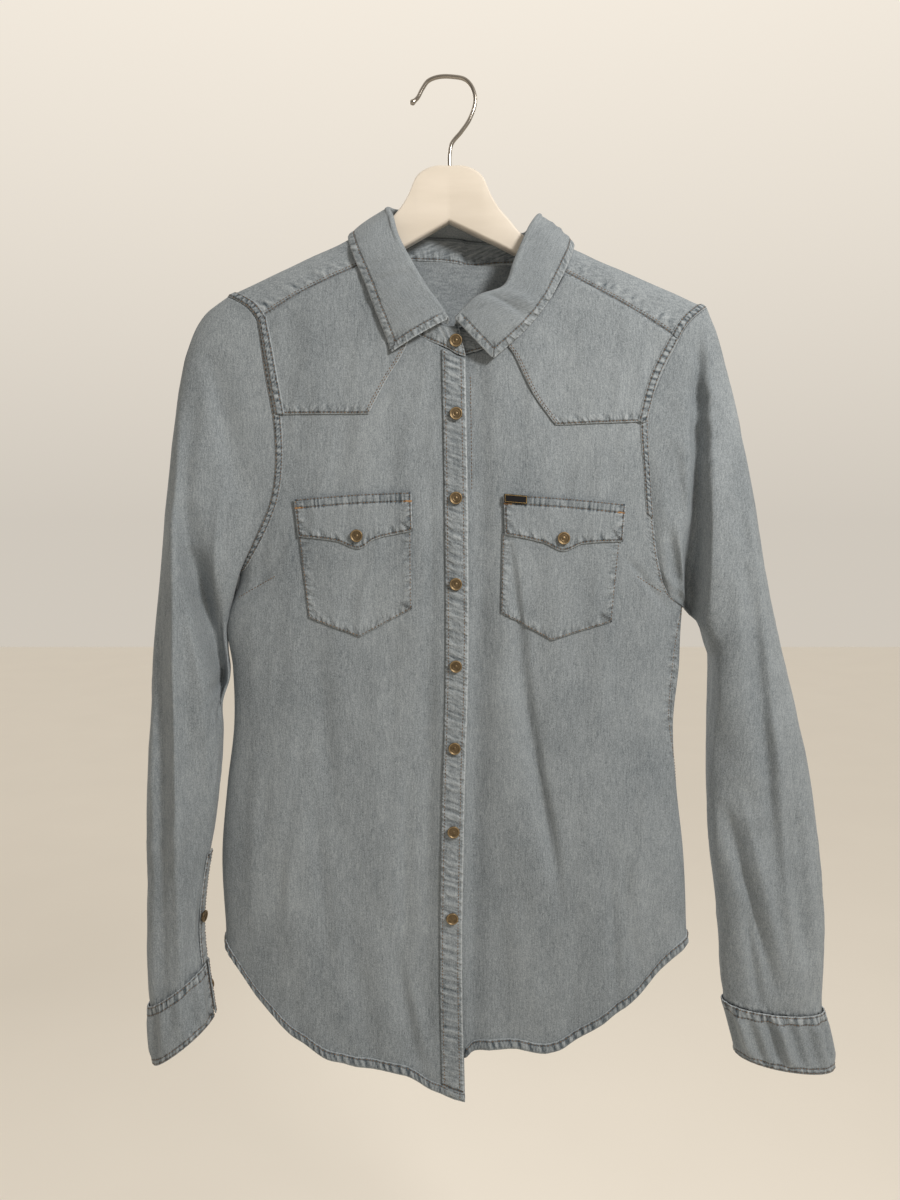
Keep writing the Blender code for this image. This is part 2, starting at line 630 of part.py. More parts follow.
def build_yoke():
    """One piece over both shoulders, from the seams in front to the one behind, round the neck."""
    seam_right = as_reach(path(shifted(YOKE_SEAM_RIGHT, (0, SEAM))), -1)
    seam_left = as_reach(path(shifted(YOKE_SEAM_LEFT[::-1], (0, SEAM))), -1)
    back = as_reach(path(shifted(YOKE_SEAM_BACK, (0, SEAM))), 1)
    right_end = path([seam_right(0), (SHOULDER_TIP_RIGHT[0] + SEAM, 0.0), back(0)])
    left_end = path([seam_left(1), (SHOULDER_TIP_LEFT[0] - SEAM, 0.0), back(1)])
    neck = neck_between(*YOKE_STATIONS)
    outline = patch(
        foot=joined((seam_right, YOKE_NECK[0]), (neck, YOKE_NECK[1]), (seam_left, 1.0)),
        top=lambda share: back(stepped(share, YOKE_NECK, YOKE_BACK)),
        start=right_end,
        end=left_end,
    )
    cloth("yoke", 34, 9, lambda u, v: over_ridge(*outline(u, v)))


def build_front_yokes():
    for side, shape in (("right", FRONT_YOKE_RIGHT), ("left", FRONT_YOKE_LEFT)):
        sides = [path(shape["armhole"]), path(shape["neck"])]
        if side == "left":
            sides.reverse()
        start, end = sides
        outline = patch(
            foot=path([start(0), end(0)]),
            top=path([start(1), shape["middle"], end(1)]),
            start=start,
            end=end,
        )
        cloth("front_yoke_" + side, 7, 8, on_front(outline, LAYER + WALL))


def build_placket():
    """The band down the right front's edge, cut on a slant at its foot like the hem."""
    def outline(u, v):
        z = mix(mix(*PLACKET_FOOT, u), mix(*PLACKET_TOP, u), v)
        edge = lap_edge_x(z) - PLACKET_INSET
        return mix(edge - PLACKET_WIDTH, edge, u), z
    cloth("placket", 2, 26, on_front(outline, LAYER + WALL))


def build_pockets():
    for side, shape, flap in (("right", POCKET_RIGHT, FLAP_RIGHT), ("left", POCKET_LEFT, FLAP_LEFT)):
        start_top, start_foot, point, end_foot, end_top = shape
        outline = patch(
            foot=path([start_foot, point, end_foot], straight=True),
            top=path([start_top, end_top]),
            start=path([start_foot, start_top]),
            end=path([end_foot, end_top]),
        )
        cloth("pocket_" + side, 8, 7, on_front(outline, LAYER + WALL))
        outline = patch(
            foot=path(flap["foot"]),
            top=path(flap["top"]),
            start=path([flap["foot"][0], flap["top"][0]]),
            end=path([flap["foot"][-1], flap["top"][-1]]),
        )
        cloth("flap_" + side, 10, 4, on_front(outline, 2 * (LAYER + WALL)))
    outline = patch(
        foot=path(LABEL["foot"]),
        top=path(LABEL["top"]),
        start=path([LABEL["foot"][0], LABEL["top"][0]]),
        end=path([LABEL["foot"][-1], LABEL["top"][-1]]),
    )
    cloth("label", 3, 1, on_front(outline, 3 * (LAYER + WALL)), finish="label")


# ------------------------------------------------------------------------------------------------ collar
def station(share, column):
    """A point of one of the collar's lines. The left end passes behind the right one, as the fronts do."""
    if column == "n":
        place = over_ridge(*neckline(share))
    else:
        knots = [i / (len(COLLAR) - 1) for i in range(len(COLLAR))]
        rows = [getattr(row, column) for row in COLLAR]
        place = Vector([hermite(knots, [row[k] for row in rows], share) for k in range(3)])
    if share > 0.5 and column in "ns":
        place.y += lap(place.x, place.z)
    return place


def outwards(share):
    """The level direction from the inside of the collar to its outside."""
    roll = station(share, "r")
    return Vector((roll.x - NECK_AXIS[0], roll.y - NECK_AXIS[1], 0)).normalized()


def build_collar_band():
    def point(u, v):
        low, high = station(u, "n"), station(u, "s")
        along = (high - low).normalized()
        return (low + along * BAND_FOOT).lerp(high - along * BAND_TOP, v)
    cloth("collar_band", 44, 2, point, both_ways=True)


def leaf_point(share, down):
    """A point of the collar leaf: down is 0 at its seam with the band and 1 at its outer edge."""
    seam, roll, edge = (station(share, c) for c in "sre")
    out = outwards(share)
    centre = roll + out * ROLL_RADIUS - Vector((0, 0, ROLL_RADIUS))
    if down < LEAF_ROLL[0]:
        return (seam + Vector((0, 0, LEAF_FOOT))).lerp(centre - out * ROLL_RADIUS, down / LEAF_ROLL[0])
    if down < LEAF_ROLL[1]:
        turn = math.pi * (down - LEAF_ROLL[0]) / (LEAF_ROLL[1] - LEAF_ROLL[0])
        return centre - out * math.cos(turn) * ROLL_RADIUS + Vector((0, 0, math.sin(turn) * ROLL_RADIUS))
    fall = (down - LEAF_ROLL[1]) / (1 - LEAF_ROLL[1])
    return (centre + out * ROLL_RADIUS).lerp(edge, fall) + out * LEAF_BOW * math.sin(math.pi * fall)


def build_collar_leaf():
    first, end = (i / (len(COLLAR) - 1) for i in LEAF_STATIONS)
    cloth("collar_leaf", 40, 10, lambda u, v: leaf_point(mix(first, end, u), v), both_ways=True)


# ----------------------------------------------------------------------------------------------- sleeves
def ring(rows, share, column):
    """A column of a sleeve's table, share of the way up from the cuff to the armhole."""
    order = rows[::-1]
    knots = [i / (len(order) - 1) for i in range(len(order))]
    values = [getattr(row, column) for row in order]
    if isinstance(values[0], tuple):
        return tuple(hermite(knots, [v[k] for v in values], share) for k in range(2))
    return hermite(knots, values, share)


def tube_point(rows, round_it, up, armholes=None, fold_rows=((), ()), room=0.0):
    """A point of a sleeve or cuff: round_it is 0 at its side towards -X and 0.5 at the other."""
    front = round_it <= 0.5
    across = 2 * round_it if front else 2 * (1 - round_it)
    across = (1 - math.cos(math.pi * across)) / 2
    outer, inner = ring(rows, up, "outer"), ring(rows, up, "inner")
    ends = [outer, inner] if rows[0].outer[0] < 0 else [inner, outer]
    if room:
        ends = [(ends[0][0] - room, ends[0][1]), (ends[1][0] + room, ends[1][1])]
    x, z = (mix(ends[0][k], ends[1][k], across) for k in range(2))
    fullness = (1 - abs(2 * across - 1) ** SLEEVE_SQUARENESS) ** (1 / SLEEVE_SQUARENESS)
    stands = (ring(rows, up, "front" if front else "back") + room) * fullness
    y = ring(rows, up, "mid") + (-stands if front else stands)
    push = folds(fold_rows[0 if front else 1], x, z) * min(1.0, 1.6 * fullness)
    if armholes:
        hole = armholes[0 if front else 1](across)
        straight = [mix(a, b, across) for a, b in zip(*armhole_ends(rows))]
        bend = smoothstep((up - STRAIGHT_FROM) / (1 - STRAIGHT_FROM))
        x += bend * (hole[0] - straight[0])
        z += bend * (hole[1] - straight[1])
        if fullness > 0.01:
            y = mix(y, body_y(hole[0], hole[1], "front" if front else "back"), bend)
        push = folds(fold_rows[0 if front else 1], x, z) * min(1.0, 1.6 * fullness) * min(1.0, 5 * (1 - up))
    return Vector((x, y + (push if front else -push), z))


def armhole_ends(rows):
    ends = [rows[0].outer, rows[0].inner]
    return ends if rows[0].outer[0] < 0 else ends[::-1]


def yoke_end(side):
    """The yoke's edge over a shoulder, from its seam in front to the one behind, as (x, reach)."""
    if side == "right":
        front, tip, behind = YOKE_SEAM_RIGHT[0], SHOULDER_TIP_RIGHT, YOKE_SEAM_BACK[0]
    else:
        front, tip, behind = YOKE_SEAM_LEFT[0], SHOULDER_TIP_LEFT, YOKE_SEAM_BACK[-1]
    ends = [as_reach(lambda share: place, face)(0) for place, face in ((front, -1), (behind, 1))]
    return path([ends[0], (tip[0], 0.0), ends[1]])


def over_shoulder(side):
    """The same edge as two lines of (x, z), from the shoulder's tip to the front and to the back."""
    run = yoke_end(side)
    points = [over_ridge(*run(i / YOKE_END_STEPS)) for i in range(YOKE_END_STEPS + 1)]
    line = [(point.x, point.z) for point in points]
    tip = min(range(len(points)), key=lambda i: abs(points[i].y))
    return line[: tip + 1][::-1], line[tip:]


def armhole_paths(side):
    """The armhole's front and back lines, from the side at -X to the other."""
    away = -ARMHOLE_GAP if side == "right" else ARMHOLE_GAP
    front, back = over_shoulder(side)
    if side == "right":
        lines = [[*front, *ARMHOLE_RIGHT_FRONT[1:]], [*back, *ARMHOLE_RIGHT_BACK[1:]]]
    else:
        lines = [[*front, *ARMHOLE_LEFT_FRONT[1:]][::-1], [*back, *ARMHOLE_LEFT_BACK[1:]][::-1]]
    return [path(shifted(line, (away, 0))) for line in lines]


SLEEVES = {
    "right": (SLEEVE_RIGHT, (SLEEVE_FOLDS_RIGHT, SLEEVE_BACK_FOLDS_RIGHT)),
    "left": (SLEEVE_LEFT, (SLEEVE_FOLDS_LEFT, SLEEVE_BACK_FOLDS_LEFT)),
}


def build_sleeves():
    for side, (rows, fold_rows) in SLEEVES.items():
        holes = armhole_paths(side)
        cloth(
            "sleeve_" + side, 24, 22,
            lambda u, v: tube_point(rows, u, mix(*SLEEVE_SPAN, v), holes, fold_rows),
            closed=True,
        )


def build_gauntlets():
    for side, strip in (("right", GAUNTLET_RIGHT), ("left", GAUNTLET_LEFT)):
        rows, fold_rows = SLEEVES[side]
        holes = armhole_paths(side)

        def point(u, v):
            round_it, up = mix(*strip["around"], u), mix(*strip["along"], v)
            return tube_point(rows, round_it, up, holes, fold_rows, room=LAYER + WALL)

        cloth("gauntlet_" + side, 4, 8, point)


def build_cuffs():
    for side, rows, slit in (("right", CUFF_RIGHT, CUFF_SLIT_RIGHT), ("left", CUFF_LEFT, CUFF_SLIT_LEFT)):
        middle, gape = slit

        def point(u, v):
            round_it = (middle + gape / 2 + u * (1 - gape)) % 1.0
            return tube_point(rows, round_it, v, room=CUFF_ROOM)

        cloth("cuff_" + side, 24, 3, point)


# ----------------------------------------------------------------------------------------------- buttons
def button(name, place, facing):
    """A shank button with a raised rim, its back at place, facing that way."""
    face = BUTTON_HEIGHT - BUTTON_DISH
    profile = [
        (0.0, face),
        (BUTTON_RADIUS - BUTTON_RIM, face),
        (BUTTON_RADIUS, BUTTON_HEIGHT),
        (BUTTON_RADIUS - BUTTON_RIM, 0.0),
        (0.0, 0.0),
    ]
    mesh = bpy.data.meshes.new(name)
    edges = [(i, i + 1) for i in range(len(profile) - 1)]
    mesh.from_pydata([(x * MM, 0, z * MM) for x, z in profile], edges, [])
    obj = add(name, mesh, "brass")
    turn = obj.modifiers.new("turn", "SCREW")
    turn.steps = turn.render_steps = 12
    turn.use_merge_vertices = True
    turn.merge_threshold = 0.00001
    obj.location = Vector(place) * MM
    obj.rotation_mode = "QUATERNION"
    obj.rotation_quaternion = Vector(facing).to_track_quat("Z", "Y")


def surface_normal(point, u, v, step=0.01):
    across = Vector(point(u + step, v)) - Vector(point(u - step, v))
    up = Vector(point(u, v + step)) - Vector(point(u, v - step))
    return across.cross(up).normalized()


def front_button(name, x, z, height):
    """A button on the front, standing on a face that is this high over the panel."""
    def near(across, up):
        return x + across, front_y(x + across, z + up) - height, z + up
    facing = surface_normal(near, 0, 0, step=BUTTON_RADIUS)
    button(name, Vector(near(0, 0)) + facing * BUTTON_SEAT, facing)


def build_buttons():
    band = LAYER + WALL
    for i, (x, z) in enumerate(FRONT_BUTTONS, start=2):
        front_button(f"button_front_{i}", x, z, band)
    low, high = station(TOP_BUTTON_SHARE, "n"), station(TOP_BUTTON_SHARE, "s")
    along = station(TOP_BUTTON_SHARE + 0.01, "n") - station(TOP_BUTTON_SHARE - 0.01, "n")
    facing = along.cross(low - high).normalized()
    button("button_front_1", low.lerp(high, 0.5) + facing * (WALL / 2 + SEAM), facing)
    for side, (x, z) in POCKET_BUTTONS.items():
        front_button("button_pocket_" + side, x, z, 2 * band)
    for side, strip in (("right", GAUNTLET_RIGHT), ("left", GAUNTLET_LEFT)):
        rows, fold_rows = SLEEVES[side]
        holes = armhole_paths(side)

        def on_sleeve(u, v):
            return tube_point(rows, u, v, holes, fold_rows, room=LAYER + WALL)

        across, height = GAUNTLET_BUTTON[side]
        place = mix(*strip["around"], across), mix(*strip["along"], height)
        facing = surface_normal(on_sleeve, *place)
        button("button_sleeve_" + side, on_sleeve(*place) + facing * BUTTON_SEAT, facing)
    for side, rows in (("right", CUFF_RIGHT), ("left", CUFF_LEFT)):
        def on_cuff(u, v):
            return tube_point(rows, u, v, room=CUFF_ROOM)
        facing = surface_normal(on_cuff, *CUFF_BUTTON[side])
        button("button_cuff_" + side, on_cuff(*CUFF_BUTTON[side]) + facing * BUTTON_SEAT, facing)


# ------------------------------------------------------------------------------------------------ hanger
def board_point(row, turn):
    """A point of the board's rounded section at this row, turn going once round it as 0 to 8."""
    corner, part = int(turn) // 2 % 4, turn % 2
    round_y = min(BOARD_ROUND, row.thick / 2 - BOARD_FLAT)
    round_z = min(BOARD_ROUND, (row.top - row.foot) / 2 - BOARD_FLAT)
    side = -1 if corner in (0, 3) else 1
    face = 1 if corner in (0, 1) else -1
    angle = math.pi / 2 * (corner + part / 2)
    middle_z = (row.top + row.foot) / 2
    y = side * (row.thick / 2 - round_y) - math.cos(angle) * round_y
    z = middle_z + face * ((row.top - row.foot) / 2 - round_z) + math.sin(angle) * round_z
    return y, z


def build_hanger_body():
    turns = [corner * 2 + part for corner in range(4) for part in (0, 1, ROUND_END)]
    shape = bmesh.new()
    rings = []
    for row in HANGER:
        rings.append([shape.verts.new(Vector((row.x, *board_point(row, turn))) * MM) for turn in turns])
    for one, other in zip(rings, rings[1:]):
        for i in range(len(turns)):
            j = (i + 1) % len(turns)
            shape.faces.new((one[i], one[j], other[j], other[i]))
    shape.faces.new(rings[0])
    shape.faces.new(rings[-1][::-1])
    bmesh.ops.recalc_face_normals(shape, faces=shape.faces)
    mesh = bpy.data.meshes.new("hanger_body")
    shape.to_mesh(mesh)
    shape.free()
    add("hanger_body", mesh, "painted_wood")


def build_hook():
    run = path(HOOK_PATH)
    curve = bpy.data.curves.new("hanger_hook", "CURVE")
    curve.dimensions = "3D"
    spline = curve.splines.new("POLY")
    spline.points.add(HOOK_STEPS)
    for i, knot in enumerate(spline.points):
        x, z = run(i / HOOK_STEPS)
        knot.co = (x * MM, 0, z * MM, 1)
    curve.bevel_depth = WIRE_RADIUS * MM
    curve.bevel_resolution = 2
    curve.use_fill_caps = True
    curve.materials.append(material("steel"))
    SHIRT.objects.link(bpy.data.objects.new("hanger_hook", curve))


SHIRT = bpy.data.collections.new("denim_shirt_on_hanger")


def main():
    for obj in list(bpy.data.objects):
        bpy.data.objects.remove(obj)
    bpy.context.scene.collection.children.link(SHIRT)
    build_hanger_body()
    build_hook()
    build_back()
    build_front_right()
    build_front_left()
    build_yoke()
    build_front_yokes()
    build_placket()
    build_pockets()
    build_collar_band()
    build_collar_leaf()
    build_sleeves()
    build_gauntlets()
    build_cuffs()
    build_buttons()


main()
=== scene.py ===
"""The looks of a western denim shirt on a painted wooden hanger.

The shapes are laid out in millimetres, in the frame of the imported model: the origin is where the hook bears
on a rail, +Z is up and the shirt faces -Y. Left and right are the wearer's, so the right front is at -X.
Every surface is a numpy grid of points whose rows run up the cloth and whose columns run across it, so that
across x up faces out of the garment.
"""

import math
from collections import namedtuple

import bmesh
import bpy
import numpy as np
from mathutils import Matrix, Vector


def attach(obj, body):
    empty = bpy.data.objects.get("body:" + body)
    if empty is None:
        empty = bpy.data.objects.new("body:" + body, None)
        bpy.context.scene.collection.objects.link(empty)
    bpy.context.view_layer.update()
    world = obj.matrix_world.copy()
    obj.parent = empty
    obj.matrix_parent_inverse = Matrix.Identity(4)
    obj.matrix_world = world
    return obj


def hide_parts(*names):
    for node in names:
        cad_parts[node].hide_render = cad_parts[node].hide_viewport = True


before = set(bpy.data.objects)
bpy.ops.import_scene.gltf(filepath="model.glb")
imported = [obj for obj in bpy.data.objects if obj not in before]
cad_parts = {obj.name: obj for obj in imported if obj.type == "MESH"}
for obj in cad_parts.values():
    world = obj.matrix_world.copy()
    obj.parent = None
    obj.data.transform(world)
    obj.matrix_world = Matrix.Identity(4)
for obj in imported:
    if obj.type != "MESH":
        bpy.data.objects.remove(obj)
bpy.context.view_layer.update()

MM = 0.001
FULL_TURN = 2 * math.pi
FAR = 99.0  # a distance that stands for nothing near
APART = 37.0  # between the lengths of two sides, so that their puckers differ
UP = np.array([0.0, 0.0, 1.0])


def table(kind, *rows):
    """Rows whose columns have the names of their kind."""
    return [kind(*row) for row in rows]


# -------- sizes
# Cloth.
WALL = 1.0  # one layer
THIN_WALL = 0.9  # of seams, hems and the tab
LAYER = 0.6  # air between a piece and the cloth that it lies on
LAP_DEPTH = 3.4  # the left front runs this far behind the right one where they overlap
LAP_CLEAR = 8.0  # it stays down for this far past the right front's edge
LAP_EASE = 16.0  # and comes up over this way
STEP = 2.8  # of the large panels' grids
BACK_STEP = 3.4
BAND_STEP = 1.7  # of the collar's
SMALL_STEP = 1.9  # of the pockets' and front yokes'
FINE_STEP = 1.45  # of the placket's and flaps'
LABEL_STEP = 0.9
LINE_STEP = 1.5  # of seam lines
BAND_CELL = 1.15  # across seams and hems
CALM = 18  # how far from its seams a panel lies calm
SLEEVE_CALM = 22

# The body's sections from the top down: the x of its sides and how far it stands out in front and behind.
# Then the ridge over the shoulders that it hangs from.
Section = namedtuple("Section", "z right left front back")
BODY = table(
    Section,
    (-90, -210, 236, 25, 21), (-180, -206, 232, 28, 24), (-300, -196, 224, 31, 27),
    (-370, -184, 214, 33, 28), (-409, -178, 206, 33, 28), (-450, -190, 203, 32, 27),
    (-490, -186, 202, 31, 27), (-540, -186, 198, 31, 27), (-594, -193, 202, 32, 29),
    (-660, -199, 210, 33, 32), (-740, -196, 214, 32, 34), (-880, -190, 214, 30, 35),
)
SQUARENESS = 2.5
RIDGE_TOP_Z = -99.5
RIDGE_SLOPE_RIGHT = 0.46
RIDGE_SLOPE_LEFT = 0.425
RIDGE_BLUNT = 20.0
RIDGE_RADIUS = 8.0

# Soft folds, as the solids have them. A positive depth is a trough. lean makes the side towards +X wider.
Fold = namedtuple("Fold", "top_x top_z foot_x foot_z width depth lean", defaults=(1.0,))
FRONT_FOLDS = table(
    Fold,
    (57, -455, 92, -670, 13, 2.6), (-27, -452, -30, -840, 18, 4.5), (40, -520, 38, -835, 24, 5),
    (-95, -500, -70, -840, 22, 3.5), (130, -465, 112, -800, 26, -2.5), (-150, -460, -128, -790, 22, -2.5),
)
BACK_FOLDS = table(
    Fold,
    (-70, -280, -88, -850, 22, 5), (14, -260, 22, -860, 16, -4), (88, -300, 104, -850, 24, 5.5),
    (140, -470, 150, -800, 16, 3),
)
# Finer creases, only here.
FRONT_CREASES = table(
    Fold,
    (52, -375, 73, -540, 6.5, 4.6, 0.42), (61.5, -480, 96.5, -670, 7.5, 5.2, 0.36),
    (84, -590, 101, -710, 6.5, 2.6, 0.45), (62, -640, 74, -800, 6, 2, 0.6),
    (-13, -395, -15, -840, 8, 4.2, 0.55), (-44, -430, -50, -700, 7, 2.6, 0.6),
    (22, -430, 22, -850, 3, 6, 5.5), (-52, -690, -26, -838, 5, 3, 0.6),
    (-86, -700, -66, -832, 5, 2.4, 0.6), (-34, -745, -12, -852, 4, -2),
    (-112, -600, -100, -760, 6, 2.4, 0.6), (140, -640, 150, -790, 6, 2.4, 0.6),
    (44, -600, 48, -835, 6, 2.4, 1.6), (176, -330, 198, -428, 4, 1.8), (150, -392, 190, -440, 4, 1.6),
    (-132, -380, -172, -432, 4, 1.6), (-150, -350, -168, -410, 3.5, -1.3),
    (-118, -520, -146, -690, 6, 1.8), (-58, -600, -64, -830, 7, 2.2), (150, -640, 170, -770, 6, 1.6),
    (118, -690, 104, -820, 8, 1.8), (-14, -322, -12, -452, 2.6, 1.5), (30, -330, 27, -520, 3.4, 1.6),
    (-34, -560, -40, -800, 5, 2.4), (-108, -470, -96, -640, 6, 1.7), (150, -440, 128, -600, 6, 1.7),
    (176, -560, 160, -730, 7, -2), (-160, -560, -172, -720, 7, -2), (58, -690, 84, -810, 7, -2.2),
    (-66, -700, -52, -835, 6, -2.4),
)
BACK_CREASES = table(
    Fold,
    (-30, -300, -44, -560, 5, 1.2), (52, -290, 60, -520, 5, 1.1), (-120, -420, -104, -700, 7, 1.3),
    (120, -520, 96, -800, 7, -1.4), (-10, -560, 4, -830, 8, 1.5), (-150, -560, -160, -760, 8, -1.2),
)

# Seam lines, as (x, z).
DARTS = [[(-144, -409), (-178, -428)], [(160, -409), (182, -423)]]
DART_POINTS = 30
ARMHOLE_RIGHT_FRONT = [
    (-157, -197), (-151, -240), (-144, -282), (-143, -318), (-148, -348), (-162, -380), (-178, -406),
]
ARMHOLE_LEFT_FRONT = [
    (193, -213), (178, -243), (168, -275), (170, -325), (175, -376), (181, -407), (190, -427), (204, -437),
]
ARMHOLE_RIGHT_BACK = [(-163, -250), (-158, -310), (-163, -360), (-178, -406)]
ARMHOLE_LEFT_BACK = [(196, -262), (188, -320), (190, -385), (204, -437)]
ARMHOLES = {
    "right": (ARMHOLE_RIGHT_FRONT, ARMHOLE_RIGHT_BACK),
    "left": (ARMHOLE_LEFT_FRONT, ARMHOLE_LEFT_BACK),
}
ARMHOLE_POINTS = 60  # on each of these lines
SHOULDER_TIPS = {"right": -184, "left": 219}  # their x
TIP_POINTS = 41  # over a shoulder
YOKE_SEAM_RIGHT = [(-157, -197), (-118, -174), (-76, -155), (-66, -150)]
YOKE_SEAM_LEFT = [(193, -213), (160, -192), (129, -175), (96, -158)]
YOKE_SEAM_BACK = [(-163, -250), (-80, -256), (16, -260), (110, -260), (196, -262)]
HEM_RIGHT = [
    (-196, -739), (-185, -755), (-160, -787), (-123, -820), (-92, -835), (-52, -841), (-34, -844),
    (-10, -860), (16, -868),
]
HEM_LEFT = [
    (-4, -841), (18, -833), (30, -825), (60, -822), (88, -826), (120, -811), (165, -779), (197, -746),
    (213.5, -737),
]
HEM_BACK = [
    (206, -745), (190, -768), (130, -822), (60, -846), (10, -851), (-50, -846), (-115, -822), (-172, -768),
    (-190, -745),
]
LAP_EDGE = [(16, -230), (18, -334), (19, -480), (16, -600), (14, -740), (16, -870)]
LAP_UNDER = -6.0  # the x of the left front's edge at the hem

# The side seams, as the angle round the body at each height: 0 at the left side, 90 in front.
SIDE_SEAMS = {
    "right": [(-406, 180), (-440, 190), (-480, 196), (-600, 197), (-733, 192)],
    "left": [(-437, 5), (-458, 12), (-490, 16), (-533, 12), (-600, -3), (-735, -8)],
}
SIDE_SHARE = 0.5  # of a panel's side, what lies under the armhole
LAP_SHARE = 0.75  # of a front's edge, what lies under the neckline
UNDER_BAND = 27.5  # how wide the left front's own band is
UNDER_STITCHES = (0.62, 0.74)  # up its edge, where that band's stitches show
LEFT_BAND_FROM = 0.68  # up the left front's side: the band of its armhole turns out of sight below
SEAM_BAND = 8  # how wide the felled armhole seams are
SEAM_STITCHES = (1.4, 6.6)  # how far over one their rows of stitches run
SIDE_STITCHES = 2.6  # beside a side seam
SEAM_PERIOD = 4.2  # from pucker to pucker of those in sight
HEM_BAND = 9.4
HEM_STITCHES = (8.2,)
YOKE_EDGE_SHARE = 0.52  # of a front yoke's inner edge, what the collar leaves in sight
YOKE_NECK = (0.22, 0.78)  # of the yoke's front edge, what lies at the neck
YOKE_BACK = (0.17, 0.82)  # and the part of its back edge behind it
YOKE_STITCHES = (1.0, 3.0)  # how far inside the yoke's seams they run
YOKE_WIDTH = 430
YOKE_STEP = 2.4

# What lies on the fronts, as (x, z).
PLACKET_WIDTH = 19.0
PLACKET_TOP = (-222.5, -231.0)
PLACKET_FOOT = (-861.0, -867.5)
PLACKET_INSET = 0.8  # from the right front's edge
FRONT_YOKES = {
    "right": {
        "armhole": [(-142, -275), (-148, -240), (-155.5, -198)],
        "neck": [(-64, -275), (-49, -247), (-36, -226), (-31, -211), (-47, -188), (-62, -161), (-67, -152)],
        "middle": (-118, -174.7),
    },
    "left": {
        "armhole": [(166, -281), (176, -245), (191.5, -213.8)],
        "neck": [(90, -284), (71, -258), (55, -226), (48, -214), (66, -203), (85, -181), (97, -161)],
        "middle": (129, -175.8),
    },
}
FRONT_YOKE_STITCHES = (1.6, 3.6)
POCKETS = {
    "right": {"foot": [(-116, -444), (-73, -460), (-29, -436)], "top": [(-124, -374), (-29, -368)]},
    "left": {"foot": [(45, -439), (88, -463), (139, -447)], "top": [(46, -373), (145, -378)]},
}
FLAPS = {
    "right": {
        "foot": [(-124, -376), (-91, -380), (-73, -386), (-59, -378), (-28, -371)],
        "top": [(-127, -345), (-78, -341), (-29, -339)],
    },
    "left": {
        "foot": [(48, -374), (80, -381), (97, -388), (113, -382), (147, -380)],
        "top": [(47, -341), (98, -344), (149, -349)],
    },
}
FLAP_EDGE = 1.7  # how far inside a flap's edges the stitches run
FLAP_TOP = 0.9  # and under its top edge
FLAP_BAND = 7.4  # and the second row there
BAR_INSET = 7.6  # how far down the bartacks on its corners are
BAR_POINTS = 6
LABEL = {"foot": [(47.5, -347.5), (66.5, -349)], "top": [(47.5, -340.5), (66.5, -342)]}

# The collar, from the wearer's right front end round the neck to the left one: n where the band is sewn to
# the neckline, as (x, z, face), s the seam of band and leaf, r the roll line and e the leaf's outer edge.
Station = namedtuple("Station", "n s r e")
COLLAR = table(
    Station,
    ((16, -229, -1), (10, -25, -204), (2, -27, -198), (-46, -27, -226)),
    ((5, -224.5, -1), (1, -24.5, -203), (2, -27, -198), (-46, -27, -226)),
    ((-20, -213, -1), (-10, -24.5, -197), (-4, -26.5, -188), (-50, -26, -212)),
    ((-40, -193, -1), (-22, -23, -180), (-15, -25, -173), (-58, -24.5, -192)),
    ((-55, -172, -1), (-35, -20.5, -160), (-27, -22.5, -153), (-66, -22, -171)),
    ((-66, -150, -1), (-47, -15, -137), (-39, -16, -129), (-76, -17, -147)),
    ((-67.5, -135, -1), (-53, -9, -122), (-44, -9.5, -111), (-80, -10, -135)),
    ((-68, -123, 0), (-58, 0, -114), (-47, 1, -102), (-82, 2, -125)),
    ((-50, -136, 1), (-47, 14.5, -118), (-40, 16, -99), (-72, 18, -138)),
    ((-24, -142, 1), (-23, 18, -121), (-19, 20.5, -97), (-36, 24, -143)),
    ((14, -145, 1), (14, 18.5, -123), (14, 21, -97), (14, 25, -144)),
    ((52, -145, 1), (50, 18, -127), (45, 20.5, -109), (64, 24, -147)),
    ((78, -142, 1), (73, 15, -130), (64, 16.5, -118), (97, 19, -147)),
    ((97, -133, 0), (86, 0, -122), (75, 1, -108), (106, 2, -133)),
    ((97, -145, -1), (81, -9, -128), (71.5, -9.5, -114), (104, -10, -142)),
    ((96, -158, -1), (76, -14.5, -138), (66, -15, -124), (100, -18, -152)),
    ((84, -182, -1), (65, -20, -163), (55, -22.5, -150), (92, -22, -169)),
    ((66, -202, -1), (50, -23.5, -184), (46, -26, -172), (82, -24.5, -186)),
    ((42, -218, -1), (28, -24.5, -198), (24, -29, -182), (64, -27, -208)),
    ((12, -227, -1), (6, -24, -205), (8, -27, -198), (38, -28, -231)),
    ((-6, -226, -1), (-6, -24, -204), (8, -27, -198), (38, -28, -231)),
)
LAST_STATION = len(COLLAR) - 1
STATION_KNOTS = np.linspace(0, 1, len(COLLAR))
NECK_AXIS = np.array([14.0, 5.0, 0.0])
YOKE_STATIONS = (5, 15)  # where the yoke's seams in front meet the neckline
LEAF_STATIONS = (1, 19)  # where the leaf ends
COLLAR_LENGTH = 430
LEAF_LENGTH = 470
ROLL_RADIUS = 2.1
# Creases of the leaf, with its length across as x and how far it hangs as -z.
LEAF_CREASES = table(
    Fold,
    (420, -10, 424, -62, 3.5, 2.2, 0.7), (408, -14, 414, -60, 4, -1.4), (52, -14, 60, -60, 4, 1.4, 0.6),
    (66, -20, 74, -60, 4, 1.2),
)
BAND_FOOT = 0.6  # left free under the band, above it and under the leaf
BAND_TOP = 0.4
LEAF_FOOT = 0.6
LEAF_ROLL = (0.2, 0.5)  # the part of the leaf's rows that turns over
LEAF_BOW = 3.0  # how far the leaf bows out below that
BAND_STITCHES = 1.6  # how far inside the band's and the leaf's edges they run
LEAF_STITCHES = 6.3

